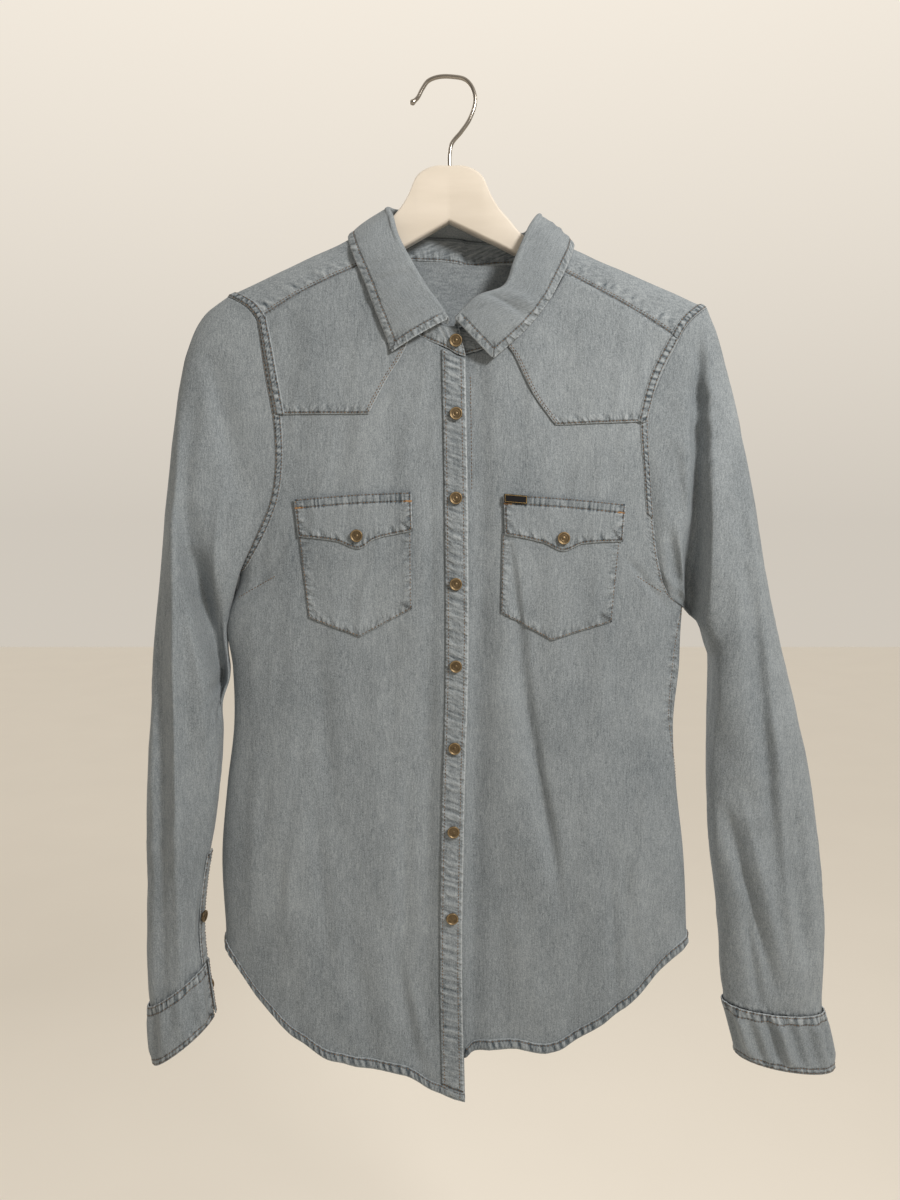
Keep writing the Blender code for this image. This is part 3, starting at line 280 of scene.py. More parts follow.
# The sleeves' and cuffs' rings, from the armhole down: their outer and inner side as (x, z), the y of their
# middle, and how far they stand out in front and behind.
Ring = namedtuple("Ring", "outer inner mid front back")
SLEEVES = {
    "right": table(
        Ring,
        ((-184, -176), (-180, -407), 0, 26, 24), ((-206, -193), (-184, -419), -1, 28, 26),
        ((-219, -221), (-185, -431), -3, 30, 28), ((-227, -262), (-188, -444), -5, 31, 29),
        ((-232, -305), (-190, -458), -6, 31, 30), ((-237, -352), (-190, -476), -7, 32, 30),
        ((-242, -402), (-189, -498), -8, 32, 30), ((-248, -455), (-196, -522), -8, 32, 30),
        ((-253, -510), (-196, -550), -8, 31, 29), ((-258, -570), (-199, -590), -8, 30, 28),
        ((-261, -630), (-205, -635), -8, 29, 27), ((-263, -690), (-213, -678), -8, 28, 26),
        ((-264, -745), (-217, -720), -8, 27, 25), ((-263, -795), (-215, -758), -8, 26, 24),
    ),
    "left": table(
        Ring,
        ((219, -187), (207, -439), 0, 26, 24), ((228, -209), (213, -443), -2, 27, 26),
        ((235, -236), (218, -450), -4, 28, 27), ((243, -266), (222, -460), -5, 29, 28),
        ((250, -299), (224, -471), -6, 30, 28), ((258, -338), (227, -482), -7, 30, 28),
        ((266, -382), (227, -497), -7, 30, 28), ((275, -426), (227, -516), -7, 30, 28),
        ((287, -471), (227, -541), -7, 29, 27), ((300, -517), (227, -572), -7, 28, 26),
        ((313, -570), (228, -606), -7, 27, 25), ((322, -622), (230, -641), -7, 26, 24),
        ((329, -674), (236, -681), -7, 25, 23), ((334, -728), (242, -726), -7, 23, 21),
        ((335, -802), (248, -793), -7, 20, 18),
    ),
}
CUFFS = {
    "right": table(
        Ring,
        ((-263.2, -789), (-215.2, -753), -8, 26.2, 24.2), ((-260, -844), (-209, -803), -8, 26, 24),
    ),
    "left": table(
        Ring,
        ((335, -796), (247.6, -788), -7, 20.2, 18.2), ((346, -851), (261, -838), -7, 20, 18),
    ),
}
# The sleeves' folds in front and behind.
SLEEVE_FOLDS = {
    "right": (
        table(
            Fold,
            (-221, -345, -183, -580, 4, 13, 3.6), (-217, -385, -182, -595, 4, 22, 3.4),
            (-213, -330, -222, -790, 5, 4.5, 3), (-222, -260, -229, -790, 5, -7, 0.9),
            (-238, -360, -246, -800, 6.5, 6, 0.9), (-197, -222, -171, -350, 7.5, 4.2, 1.7),
            (-206, -240, -222, -410, 6, 2), (-186, -330, -196, -430, 4, -2),
            (-246, -300, -252, -700, 5, -2), (-206, -540, -216, -700, 5, 3, 2),
        ),
        table(Fold, (-212, -360, -228, -740, 9, 7), (-236, -300, -246, -780, 6, -3)),
    ),
    "left": (
        table(
            Fold,
            (210.5, -205, 210, -560, 6.5, 14, 0.55), (217.5, -210, 218, -580, 3, -8, 5),
            (204, -360, 213, -520, 9, 8, 0.6), (176, -300, 190, -430, 7, -3),
            (184, -365, 204, -452, 5, 4.5, 0.8), (192, -360, 212, -458, 5, -4.5),
            (199, -370, 216, -465, 5, 5, 0.8), (178, -405, 216, -436, 5, -3),
            (190, -300, 202, -380, 4, 1.5), (252, -400, 286, -680, 8, 6, 0.55),
            (238, -600, 288, -775, 7, 7, 0.5), (248, -590, 297, -770, 3.6, -3.5, 1.6),
            (258, -690, 275, -790, 5, 5, 0.6), (280, -570, 312, -750, 8, 5, 0.5),
            (270, -500, 306, -780, 6, -5), (240, -300, 262, -560, 7, 3), (290, -560, 322, -790, 5, 3),
        ),
        table(Fold, (222, -330, 290, -760, 10, 8), (250, -380, 312, -780, 7, -4)),
    ),
}
SLEEVE_SQUARENESS = 2.1
STRAIGHT_FROM = 0.62  # up a sleeve, where its rings begin to bend towards the armhole
SLEEVE_SPAN = (0.003, 0.999)  # the part between the cuff and the armhole's seam line
SLEEVE_STEP = 2.6
CUFF_ROOM = 2.4  # between a cuff and the sleeve's end in it
CUFF_SLITS = {"right": (0.505, 0.03), "left": (0.70, 0.012)}  # where round the cuff, and how wide
CUFF_EDGE = 1.6  # how far inside a cuff's edges the stitches run
CUFF_SEAMS = (8.2, 5.6)  # and the second rows, at its top and at its foot
GAUNTLETS = {
    "right": {"around": (0.455, 0.545), "along": (0.012, 0.20)},
    "left": {"around": (0.66, 0.74), "along": (0.012, 0.19)},
}
CUFF_STEP = 1.6

# Buttons, as (radius, height) from the middle of the face round the rim to the foot.
BUTTON_PROFILE = [
    (0.0, 2.35), (0.9, 2.3), (1.25, 1.95), (2.3, 1.9), (2.6, 2.15), (3.0, 1.9), (3.9, 1.95), (4.3, 2.5),
    (4.75, 2.75), (5.2, 2.45), (5.3, 1.8), (4.9, 1.0), (3.6, 0.2), (0.0, 0.1),
]
BUTTON_SIDES = 30

# The hanger's board, from its right end to its left one, and the line of its hook as (x, z).
Board = namedtuple("Board", "x top foot thick")
HANGER = table(
    Board,
    (-205, -209, -214, 4), (-203.5, -204, -219, 9), (-198, -197, -221, 12), (-190, -190.5, -219, 12),
    (-180, -182, -213, 12), (-150, -166, -199, 12), (-115, -149.5, -180, 12), (-80, -136, -161, 12),
    (-58, -125, -148.5, 12), (-46, -112, -142, 12), (-38, -103, -137.5, 12), (-31, -91.5, -133.5, 12),
    (-26, -80, -130.7, 12), (-19, -73.5, -126.8, 12), (-9, -70, -121.2, 12), (2, -70, -115, 12),
    (14, -70, -120.5, 12), (24, -73.5, -125.1, 12), (31, -80, -128.5, 12), (36, -91.5, -130.8, 12),
    (43, -103, -134, 12), (51, -112, -138, 12), (63, -125, -144, 12), (85, -135.5, -156, 12),
    (120, -148, -174, 12), (155, -162.7, -192, 12), (185, -176, -206, 12), (203, -185, -214, 12),
    (211, -191, -216, 12), (215.5, -197, -213, 9), (216.5, -202, -208, 4),
)
BOARD_ROUND = 3.2
BOARD_FLAT = 0.3  # left between two rounded edges
BOARD_STEP = 1.6
BOARD_SIDES = 32
HOOK_PATH = [
    (2.5, -72), (2.5, -60), (4.5, -51), (12, -42), (19, -32), (23.5, -19), (21.8, -8), (15.5, -0.5),
    (6, 1.7), (-6, 1.7), (-15, -1.5), (-20, -8), (-24, -15), (-30, -20),
]
HOOK_LENGTH = 132
HOOK_RINGS = 120
WIRE_RADIUS = 1.7
WIRE_SIDES = 20
KNOB = {"out": 0.75, "from_end": 2.2, "width": 1.7}

# Sewing.
EDGE_STITCHES = 1.4  # how far inside a folded edge the stitches run
STITCH_PITCH = 2.9
STITCH_LENGTH = 2.3
STITCH_RADIUS = 0.36
STITCH_LIFT = 0.05
STITCH_RINGS = ((-0.5, 0.15), (-0.22, 1.0), (0.22, 1.0), (0.5, 0.15))  # along it, and how thick
STITCH_SIDES = 4
BAR_PITCH = 0.55
BAR_WIDTH = 1.9
BAR_RADIUS = 0.3

# The camera stands in front, a little above the middle of the shirt.
CAMERA_PLACE = (0.002885, -0.777, -0.361761)
CAMERA_TILT = 84.9
CAMERA_LENS = 27.0
FLOOR_Z = -1.75
FLOOR_HALF = 9.0
LIT_POINT = (0.0, 0.0, -0.35)


# -------- materials
class Nodes:
    """A tree of shader nodes and short ways to add to it."""

    def __init__(self, tree):
        self.tree = tree

    def put(self, socket, value):
        if isinstance(value, bpy.types.NodeSocket):
            self.tree.links.new(value, socket)
        else:
            socket.default_value = value

    def node(self, kind, inputs=(), output=0, **settings):
        made = self.tree.nodes.new(kind)
        for key, value in settings.items():
            setattr(made, key, value)
        for key, value in dict(inputs).items():
            self.put(made.inputs[key], value)
        return made.outputs[output]

    def place(self, output="Object"):
        return self.node("ShaderNodeTexCoord", output=output)

    def attribute(self, name, output="Vector"):
        return self.node("ShaderNodeAttribute", output=output, attribute_name=name)

    def noise(self, vector, scale, detail=2.0, rough=0.5):
        vector = self.node("ShaderNodeVectorMath", {0: vector, 1: scale}, operation="MULTIPLY")
        inputs = {"Vector": vector, "Scale": 1.0, "Detail": detail, "Roughness": rough}
        return self.node("ShaderNodeTexNoise", inputs)

    def math(self, operation, a, b=0.0, clamp=False):
        return self.node("ShaderNodeMath", {0: a, 1: b}, operation=operation, use_clamp=clamp)

    def times(self, a, b, plus=0.0):
        return self.node("ShaderNodeMath", {0: a, 1: b, 2: plus}, operation="MULTIPLY_ADD")

    def total(self, *terms, clamp=False):
        """The sum of all terms, kept between 0 and 1 if clamp is on."""
        result = terms[0]
        for term in terms[1:]:
            result = self.math("ADD", result, term, clamp and term is terms[-1])
        return result

    def span(self, value, low, high, start=0.0, end=1.0, kind="SMOOTHSTEP"):
        """Goes from start to end while the value goes from low to high."""
        inputs = {"Value": value, "From Min": low, "From Max": high, "To Min": start, "To Max": end}
        return self.node("ShaderNodeMapRange", inputs, interpolation_type=kind)

    def blend(self, factor, one, other):
        inputs = {0: factor, 6: (*one, 1), 7: (*other, 1)}
        return self.node("ShaderNodeMix", inputs, output=2, data_type="RGBA")

    def split(self, vector):
        made = self.tree.nodes.new("ShaderNodeSeparateXYZ")
        self.put(made.inputs[0], vector)
        return made.outputs[:3]


class Paint(Nodes):
    """A Principled material and the nodes that feed it."""

    def __init__(self, name, roughness=0.5, metallic=0.0):
        self.material = bpy.data.materials.new(name)
        self.material.use_nodes = True
        super().__init__(self.material.node_tree)
        self.shader = self.tree.nodes["Principled BSDF"]
        self.set("Roughness", roughness)
        self.set("Metallic", metallic)

    def set(self, socket, value):
        self.put(self.shader.inputs[socket], value)

    def bump(self, height, distance):
        inputs = {"Height": height, "Distance": distance, "Strength": 1.0}
        self.set("Normal", self.node("ShaderNodeBump", inputs))

    def colour(self, factor, one, other):
        self.set("Base Color", self.blend(factor, one, other))
        return self.material


def denim():
    """Washed denim: slubby warp, pale wear on folded edges and on puckers that stand up, painted shade in
    sunken puckers and along the stitch lines.
    """
    made = Paint("washed_denim", roughness=0.92)
    made.set("Sheen Weight", 0.08)
    made.set("Sheen Roughness", 0.5)
    made.set("Specular IOR Level", 0.2)
    grain = made.attribute("grain")
    near, along, rim = made.split(made.attribute("seam"))
    slub = made.noise(grain, (0.80, 0.80, 0.10), detail=3.0, rough=0.65)
    speck = made.noise(grain, (1.1, 1.1, 0.8), detail=3.0, rough=0.75)
    cloud = made.noise(grain, (0.020, 0.020, 0.012), detail=3.0, rough=0.6)
    beside = made.node("ShaderNodeCombineXYZ", {0: along, 1: near, 2: 1.0})
    gathered = made.span(made.noise(beside, (0.26, 0.10, 3.0), detail=1.5), 0.30, 0.70, -1.0, 1.0)
    gathered = made.times(gathered, made.span(near, 1.0, 13.0, 1.0, 0.0))
    # Pucker tone: paler where the puckers stand up (wear), painted shade where they sink.
    pucker_wear_and_shade = made.total(made.attribute("pucker", "Fac"), gathered)
    lines = [made.math("ABSOLUTE", line) for line in made.split(made.attribute("groove"))]
    # Painted shade along the stitch lines, darkest on each line; the same mask also sinks the bump.
    groove_shade = made.total(*[made.span(line, 0.35, 1.25, 1.0, 0.0) for line in lines])
    tone = made.total(
        made.times(slub, 0.60, 0.18), made.times(speck, 1.2, -0.60), made.times(cloud, 0.44, -0.22),
        made.times(pucker_wear_and_shade, 0.17), made.times(made.span(rim, 0.2, 1.6, 1.0, 0.0), 0.32),
        made.times(groove_shade, -0.26), clamp=True,
    )
    height = made.total(
        made.times(slub, 0.22), made.times(speck, 0.30), made.times(gathered, 0.60), made.times(groove_shade, -0.35)
    )
    made.bump(height, 1.0 * MM)
    return made.colour(tone, (0.058, 0.076, 0.093), (0.418, 0.460, 0.495))


def thread(name, dark, light):
    made = Paint("thread_" + name, roughness=0.7)
    shade = made.noise(made.place(), (260, 260, 260), detail=1.0)
    return made.colour(made.span(shade, 0.3, 0.7), dark, light)


def brass():
    """Brown antiqued metal, darker in its hollows and rubbed bright on its rim."""
    made = Paint("antique_brass", roughness=0.42, metallic=0.75)
    grime = made.noise(made.place(), (420, 420, 420), detail=3.0)
    out = made.attribute("turned", "Fac")
    rubbed = made.times(made.span(out, 3.9, 4.7), made.span(out, 4.7, 5.2, 1.0, 0.0))
    made.bump(grime, 0.12 * MM)
    tone = made.total(made.times(grime, 0.5), made.times(rubbed, 0.5), clamp=True)
    return made.colour(tone, (0.056, 0.038, 0.021), (0.43, 0.315, 0.175))


def white_paint():
    made = Paint("white_paint", roughness=0.38)
    tone = made.noise(made.place(), (9, 40, 40), detail=3.0)
    made.bump(made.noise(made.place(), (30, 260, 260)), 0.10 * MM)
    return made.colour(made.span(tone, 0.3, 0.7), (0.66, 0.60, 0.52), (0.73, 0.67, 0.59))


def chrome():
    made = Paint("bright_wire", roughness=0.2, metallic=1.0)
    tone = made.noise(made.place(), (120, 120, 120))
    return made.colour(tone, (0.26, 0.235, 0.205), (0.50, 0.465, 0.42))


def label_cloth():
    made = Paint("black_label", roughness=0.8)
    made.set("Specular IOR Level", 0.15)
    weave = made.noise(made.attribute("grain"), (3.0, 3.0, 3.0), detail=1.0)
    made.bump(weave, 0.2 * MM)
    return made.colour(weave, (0.004, 0.004, 0.005), (0.018, 0.018, 0.020))


def floor_paint(colour):
    made = Paint("floor_paint", roughness=0.9)
    light = tuple(channel * 1.04 for channel in colour)
    return made.colour(made.noise(made.place(), (3, 3, 3)), colour, light)


DENIM = denim()
LABEL_CLOTH = label_cloth()
BRASS = brass()
PAINT = white_paint()
CHROME = chrome()
THREADS = {
    "tan": thread("tan", (0.085, 0.055, 0.035), (0.22, 0.15, 0.095)),
    "orange": thread("orange", (0.32, 0.17, 0.075), (0.50, 0.29, 0.13)),
    "gold": thread("gold", (0.42, 0.27, 0.09), (0.62, 0.44, 0.18)),
}


# -------- curves
def mix(a, b, share):
    return a + (b - a) * share


def smoothstep(x):
    x = np.clip(x, 0, 1)
    return x * x * (3 - 2 * x)


def bump_between(x, start, end, soft):
    """1 between start and end, 0 outside, with soft shoulders."""
    return smoothstep((x - start) / soft) * smoothstep((end - x) / soft)


def bell(x, middle, width):
    """1 at the middle and 0 a few widths from it."""
    return np.exp(-(((x - middle) / width) ** 2))


def unit(vectors):
    return vectors / np.maximum(np.linalg.norm(vectors, axis=-1, keepdims=True), 1e-9)


def split(places):
    return np.moveaxis(places, -1, 0)


def spaced(length, step):
    return np.linspace(0, 1, max(2, int(round(length / step)) + 1))


def lengths(points):
    """How far along the points each one is."""
    return np.concatenate([[0], np.cumsum(np.linalg.norm(np.diff(points, axis=0), axis=1))])


def read(columns, run, place):
    """The columns of an array at these places along it, in straight lines."""
    return np.stack([np.interp(place, run, column) for column in columns.T], axis=-1)


def hermite(knots, values, at):
    """A smooth curve through values at rising knots, read at an array of places."""
    knots, values = np.asarray(knots, float), np.asarray(values, float)
    at = np.clip(np.asarray(at, float), knots[0], knots[-1])
    i = np.clip(np.searchsorted(knots, at, side="right") - 1, 0, len(knots) - 2)
    index = np.arange(len(knots))
    before, after = np.maximum(index - 1, 0), np.minimum(index + 1, len(knots) - 1)
    span = knots[after] - knots[before]
    width = knots[i + 1] - knots[i]
    s = (at - knots[i]) / width
    if values.ndim > 1:
        span, width, s = span[:, None], width[..., None], s[..., None]
    slopes = (values[after] - values[before]) / span
    return (
        (2 * s**3 - 3 * s**2 + 1) * values[i]
        + (s**3 - 2 * s**2 + s) * width * slopes[i]
        + (-2 * s**3 + 3 * s**2) * values[i + 1]
        + (s**3 - s**2) * width * slopes[i + 1]
    )


def path(points, straight=False):
    """A function of 0 to 1 that runs along the points by length, smoothly or in straight lines."""
    points = np.asarray(points, float)
    knots = lengths(points)

    def at(share):
        place = np.clip(share, 0, 1) * knots[-1]
        return read(points, knots, place) if straight else hermite(knots, points, place)

    return at


def joined(*paths_and_shares):
    """Several paths end to end: each comes with the share of the whole at which it ends."""

    def at(share):
        share = np.asarray(share, float)
        result, begun = None, 0.0
        for run, ends in paths_and_shares:
            here = run(np.clip((share - begun) / (ends - begun), 0, 1))
            result = here if result is None else np.where((share > begun)[..., None], here, result)
            begun = ends
        return result

    return at


def patch(foot, top, start, end):
    """The points of a four-sided patch at arrays u and v. foot and top run from start's side to end's."""

    def at(u, v):
        low, high, left, right = foot(u)[None], top(u)[None], start(v)[:, None], end(v)[:, None]
        across, up = u[None, :, None], v[:, None, None]
        ends = [run(np.array([x]))[0] for run in (foot, top) for x in (0.0, 1.0)]
        corners = mix(mix(ends[0], ends[1], across), mix(ends[2], ends[3], across), up)
        return mix(left, right, across) + mix(low, high, up) - corners

    return at


def four_sided(shape, straight=False):
    """The patch between a foot and a top, rows of points whose ends are joined in straight lines."""
    foot, top = shape["foot"], shape["top"]
    return patch(path(foot, straight), path(top), path([foot[0], top[0]]), path([foot[-1], top[-1]]))


def grid(outline, width, length, step=STEP):
    """An outline's points, about this far apart on a piece of this width and length."""
    return outline(spaced(width, step), spaced(length, step))


def ripple(across, up, wide, long, seed, waves=11):
    """Irregular smooth waves from about -1 to 1, of this size in millimetres."""
    chance = np.random.default_rng(seed)
    total = 0
    for _ in range(waves):
        a = chance.uniform(0.5, 1.6) * FULL_TURN / wide
        b = chance.uniform(-1.3, 1.3) * FULL_TURN / long
        total = total + np.sin(across * a + up * b + chance.uniform(0, FULL_TURN))
    return total / math.sqrt(waves) / 1.2


def crumple(across, up, wide, long, seed):
    """Smooth hollows that meet in thin uneven ridges, from about -1 to 0.5."""
    uneven = 0.6 + 0.4 * ripple(across, up, 2.6 * wide, 2.1 * long, seed + 500)
    return (0.5 - np.abs(ripple(across, up, wide, long, seed, waves=6))) * uneven


def gather(along, seed, period=6.5):
    """How far cloth stands up or sinks along a seam that has drawn it up, from -1 to 1."""
    chance = np.random.default_rng(seed)
    total = 0
    for share in (1.0, 0.63, 1.37):
        slow = 0.9 * np.sin(along * FULL_TURN / (period * 7.3 * share) + chance.uniform(0, 6))
        total = total + np.sin(along * FULL_TURN / (period * share) + slow * 2.4 + chance.uniform(0, 6))
    return np.clip(total / 1.9, -1, 1)


def folds(rows, x, z):
    """How far the folds push the cloth in at these places."""
    depth = 0.0
    for fold in rows:
        along = (fold.top_z - z) / (fold.top_z - fold.foot_z)
        off = (x - mix(fold.top_x, fold.foot_x, along)) / fold.width
        off = np.where(off > 0, off / fold.lean, off)
        envelope = np.sin(math.pi * np.clip(along, 0, 1)) ** 0.7
        depth = depth + fold.depth * envelope * np.exp(-off * off)
    return depth


# -------- body surface
def section(z, column):
    rows = BODY[::-1]
    return hermite([row.z for row in rows], [getattr(row, column) for row in rows], z)


def ridge_z(x):
    slope = np.where(x < 0, RIDGE_SLOPE_RIGHT, RIDGE_SLOPE_LEFT)
    return RIDGE_TOP_Z - slope * (np.hypot(x, RIDGE_BLUNT) - RIDGE_BLUNT)


def drape(stands, below_ridge):
    """How far the cloth hangs off the ridge's plane, this far below it."""
    stands = np.maximum(stands, 0.01)
    rounded = np.sqrt(2 * RIDGE_RADIUS * np.maximum(0.0, below_ridge))
    return stands * (1 - np.exp(-rounded / stands))


def side_share(x, z):
    """From -1 at the body's right side to 1 at its left one."""
    right, left = section(z, "right"), section(z, "left")
    return (2 * x - right - left) / (left - right)


def body_y(x, z, column="front"):
    share = np.minimum(1.0, np.abs(side_share(x, z)))
    fullness = (1 - share**SQUARENESS) ** (1 / SQUARENESS)
    off = drape(section(z, column) * fullness, ridge_z(x) - z)
    rows = FRONT_FOLDS if column == "front" else BACK_FOLDS
    off = off - folds(rows, x, z) * np.minimum(1.0, 2 * fullness) ** 2
    return -off if column == "front" else off


def bearing(x, z):
    """The angle round the body of a place on its front."""
    share = np.clip(side_share(x, z), -1.0, 1.0)
    return np.degrees(np.arccos(np.copysign(np.abs(share) ** (SQUARENESS / 2), share)))


def on_body(outline):
    """Points of the body from an array of (angle, z)."""
    angle, z = split(outline)
    turn = np.cos(np.radians(angle))
    share = np.copysign(np.abs(turn) ** (2 / SQUARENESS), turn)
    right, left = section(z, "right"), section(z, "left")
    x = (right + left + share * (left - right)) / 2
    behind = np.sin(np.radians(angle)) < 0
    return np.stack([x, np.where(behind, body_y(x, z, "back"), body_y(x, z)), z], axis=-1)


def with_angle(places, face=1):
    """Places (x, z) on the front, 1, or the back, -1, as (angle, z)."""
    x, z = split(np.asarray(places, float))
    return np.stack([face * bearing(x, z), z], axis=-1)


def as_angle(run, face=1):
    return lambda share: with_angle(run(share), face)


def with_reach(places, face):
    """Places (x, z) on the front, -1, or the back, 1, as (x, reach over the ridge)."""
    x, z = split(np.asarray(places, float))
    return np.stack([x, face * np.sqrt(np.maximum(0.0, ridge_z(x) - z))], axis=-1)


def as_reach(run, face):
    return lambda share: with_reach(run(share), face)


def over_ridge(outline):
    x, over = split(outline)
    z = ridge_z(x) - over * over
    return np.stack([x, np.where(over < 0, body_y(x, z), body_y(x, z, "back")), z], axis=-1)


def neckline(share):
    """The neckline, as (x, reach over the ridge)."""
    rows = np.array([row.n for row in COLLAR], float)
    return hermite(STATION_KNOTS, with_reach(rows[:, :2], rows[:, 2]), share)


def neck_between(one, other):
    return lambda share: neckline(mix(one, other, share) / LAST_STATION)


def front_neck(one, other):
    def at(share):
        x, over = split(neck_between(one, other)(share))
        return with_angle(np.stack([x, ridge_z(x) - over**2], axis=-1))

    return at


def lap_edge_x(z):
    x, knots = np.array(LAP_EDGE[::-1], float).T
    return hermite(knots, x, z)


def lap(x, z):
    """How far the left front is pushed in to pass behind the right one."""
    return LAP_DEPTH * (1 - smoothstep((x - lap_edge_x(z) - LAP_CLEAR) / LAP_EASE))


def side_seam(side, shift=0):
    heights, turns = np.array(SIDE_SEAMS[side][::-1], float).T

    def at(share):
        z = mix(heights[0], heights[-1], share)
        return np.stack([hermite(heights, turns, z) + shift, z], axis=-1)

    return at


def side_edge(seam, armhole, face=1):
    """A panel's side: the side seam and above it the armhole."""
    return joined((seam, SIDE_SHARE), (as_angle(path(armhole[::-1]), face), 1.0))


# -------- meshes
class Sheet:
    """A grid of cloth with its lengths across and up, from which seams, bands and stitches are laid out."""

    def __init__(self, points, closed=False):
        self.points = points
        self.closed = closed
        rows, columns = points.shape[:2]
        steps_across, steps_up = (np.linalg.norm(np.diff(points, axis=axis), axis=2) for axis in (1, 0))
        self.across = np.hstack([np.zeros((rows, 1)), np.cumsum(steps_across, axis=1)])
        self.up = np.vstack([np.zeros((1, columns)), np.cumsum(steps_up, axis=0)])

    def normals(self):
        points = self.points
        if self.closed:
            points = np.concatenate([points[:, -2:-1], points, points[:, 1:2]], axis=1)
        across = np.gradient(points, axis=1)
        if self.closed:
            across = across[:, 1:-1]
        return unit(np.cross(across, np.gradient(self.points, axis=0)))

    def moved(self, offset):
        """The same cloth moved out by offset, a grid of millimetres."""
        return Sheet(self.points + self.normals() * offset[..., None], self.closed)

    def from_side(self, side):
        """For each point, how far it is from one side and how far along that side it is."""
        if side == "foot":
            return self.up, np.broadcast_to(self.across[:1], self.up.shape)
        if side == "top":
            return self.up[-1:] - self.up, np.broadcast_to(self.across[-1:], self.up.shape)
        if side == "start":
            return self.across, np.broadcast_to(self.up[:, :1], self.up.shape)
        return self.across[:, -1:] - self.across, np.broadcast_to(self.up[:, -1:], self.up.shape)

    def nearest(self, sides, apart=0.0):
        """The same for the nearest of several sides, whose lengths begin this far apart."""
        near, along = np.full(self.up.shape, FAR), np.zeros(self.up.shape)
        for i, side in enumerate(sides):
            distance, run = self.from_side(side)
            along = np.where(distance < near, run + apart * i, along)
            near = np.minimum(near, distance)
        return near, along

    def line(self, side, inset, trim=(0, 0), span=(0, 1), count=None):
        """Points and normals along a side, this far in from it, over this span of the grid, ends trimmed."""
        distance = self.from_side(side)[0]
        cells = np.concatenate([self.points, self.normals()], axis=2)
        if side in ("start", "end"):
            distance, cells = distance.T, cells.transpose(1, 0, 2)
        if side in ("top", "end"):
            distance, cells = distance[::-1], cells[::-1]
        last = cells.shape[1] - 1
        found = []
        for j in range(round(span[0] * last), round(span[1] * last) + 1):
            place = np.interp(inset, distance[:, j], np.arange(len(distance)))
            i = min(int(place), len(distance) - 2)
            found.append(mix(cells[i, j], cells[i + 1, j], place - i))
        found = np.array(found)
        run = lengths(found[:, :3])
        low, high = trim[0], run[-1] - trim[1]
        return read(found, run, np.linspace(low, high, count or max(2, int((high - low) / LINE_STEP))))


def add_object(name, data):
    obj = bpy.data.objects.new(name, data)
    bpy.context.scene.collection.objects.link(obj)
    return obj


def new_piece(name, points, faces, material, node=None):
    """A smooth mesh on the one body, in place of a node if one is named."""
    mesh = bpy.data.meshes.new(name)
    mesh.from_pydata((np.asarray(points).reshape(-1, 3) * MM).tolist(), [], faces)
    mesh.materials.append(material)
    mesh.shade_smooth()
    obj = add_object(name, mesh)
    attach(obj, "root")
    if node:
        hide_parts(node)
    return obj


def quads(index):
    """The faces between the rows and columns of an array of point numbers."""
    corners = [index[:-1, :-1], index[:-1, 1:], index[1:, 1:], index[1:, :-1]]
    return np.stack(corners, axis=-1).reshape(-1, 4).tolist()


def rod(index):
    """The faces of a row of rings of point numbers, with both ends filled."""
    return quads(np.hstack([index, index[:, :1]])) + [index[0, ::-1].tolist(), index[-1].tolist()]


def numbered(shape):
    return np.arange(shape[0] * shape[1]).reshape(shape[:2])


def write_attribute(mesh, name, values, kind="FLOAT_VECTOR"):
    layer = mesh.attributes.new(name, kind, "POINT")
    layer.data.foreach_set("value" if kind == "FLOAT" else "vector", np.ravel(values).astype(np.float32))


def upright(points, lean=0.0):
    """Where each point lies among threads that hang straight down, or lean by this many degrees: the last
    of the three coordinates runs along them."""
    x, y, z = split(points)
    turn = math.radians(lean)
    return np.stack([x * math.cos(turn) + z * math.sin(turn), y, z * math.cos(turn) - x * math.sin(turn)], -1)


def cloth(name, sheet, material=DENIM, slot="denim", node=None, wall=WALL, sewn=(), free=(), pucker=None,
          both_ways=False, weave=None, grooves=()):
    """A solid wall of cloth. sewn and free are the sides that are stitched to others or folded to an edge.
    grooves are up to three grids of the distance from a line of stitches."""
    shape = sheet.up.shape
    index = numbered(shape)
    if sheet.closed:
        index[:, -1] = index[:, 0]
    obj = new_piece(name, sheet.points, quads(index), material, node)
    mesh = obj.data
    write_attribute(mesh, "grain", upright(sheet.points) if weave is None else weave)
    # The groove grids mark where the material paints shade along the stitch lines.
    lines = [*grooves, *[np.full(shape, FAR)] * (3 - len(grooves))]
    write_attribute(mesh, "groove", np.stack(lines, axis=-1))
    write_attribute(mesh, "seam", np.stack([*sheet.nearest(sewn), sheet.nearest(free)[0]], axis=-1))
    # The pucker grid sets a tone that follows the relief: paler where the cloth stands up, painted shade
    # where it sinks.
    write_attribute(mesh, "pucker", np.zeros(shape) if pucker is None else pucker, "FLOAT")
    if sheet.closed:
        drop_loose(mesh)
    solid = obj.modifiers.new("wall", "SOLIDIFY")
    solid.thickness = wall * MM
    solid.offset = 0 if both_ways else -1
    solid.use_even_offset = False
    return obj


def drop_loose(mesh):
    """Removes the points that no face uses."""
    shape = bmesh.new()
    shape.from_mesh(mesh)
    for vert in [vert for vert in shape.verts if not vert.link_faces]:
        shape.verts.remove(vert)
    shape.to_mesh(mesh)
    shape.free()


BANDS = {}  # the strips and the tab that go with each piece


def lay(name, sheet, rests_on, **looks):
    """A cloth piece in place of its plain solid."""
    cloth(name, sheet, node=name, **looks)


# -------- sewing
SEWN = {}  # what has been stitched so far: lists of points and faces for each thread


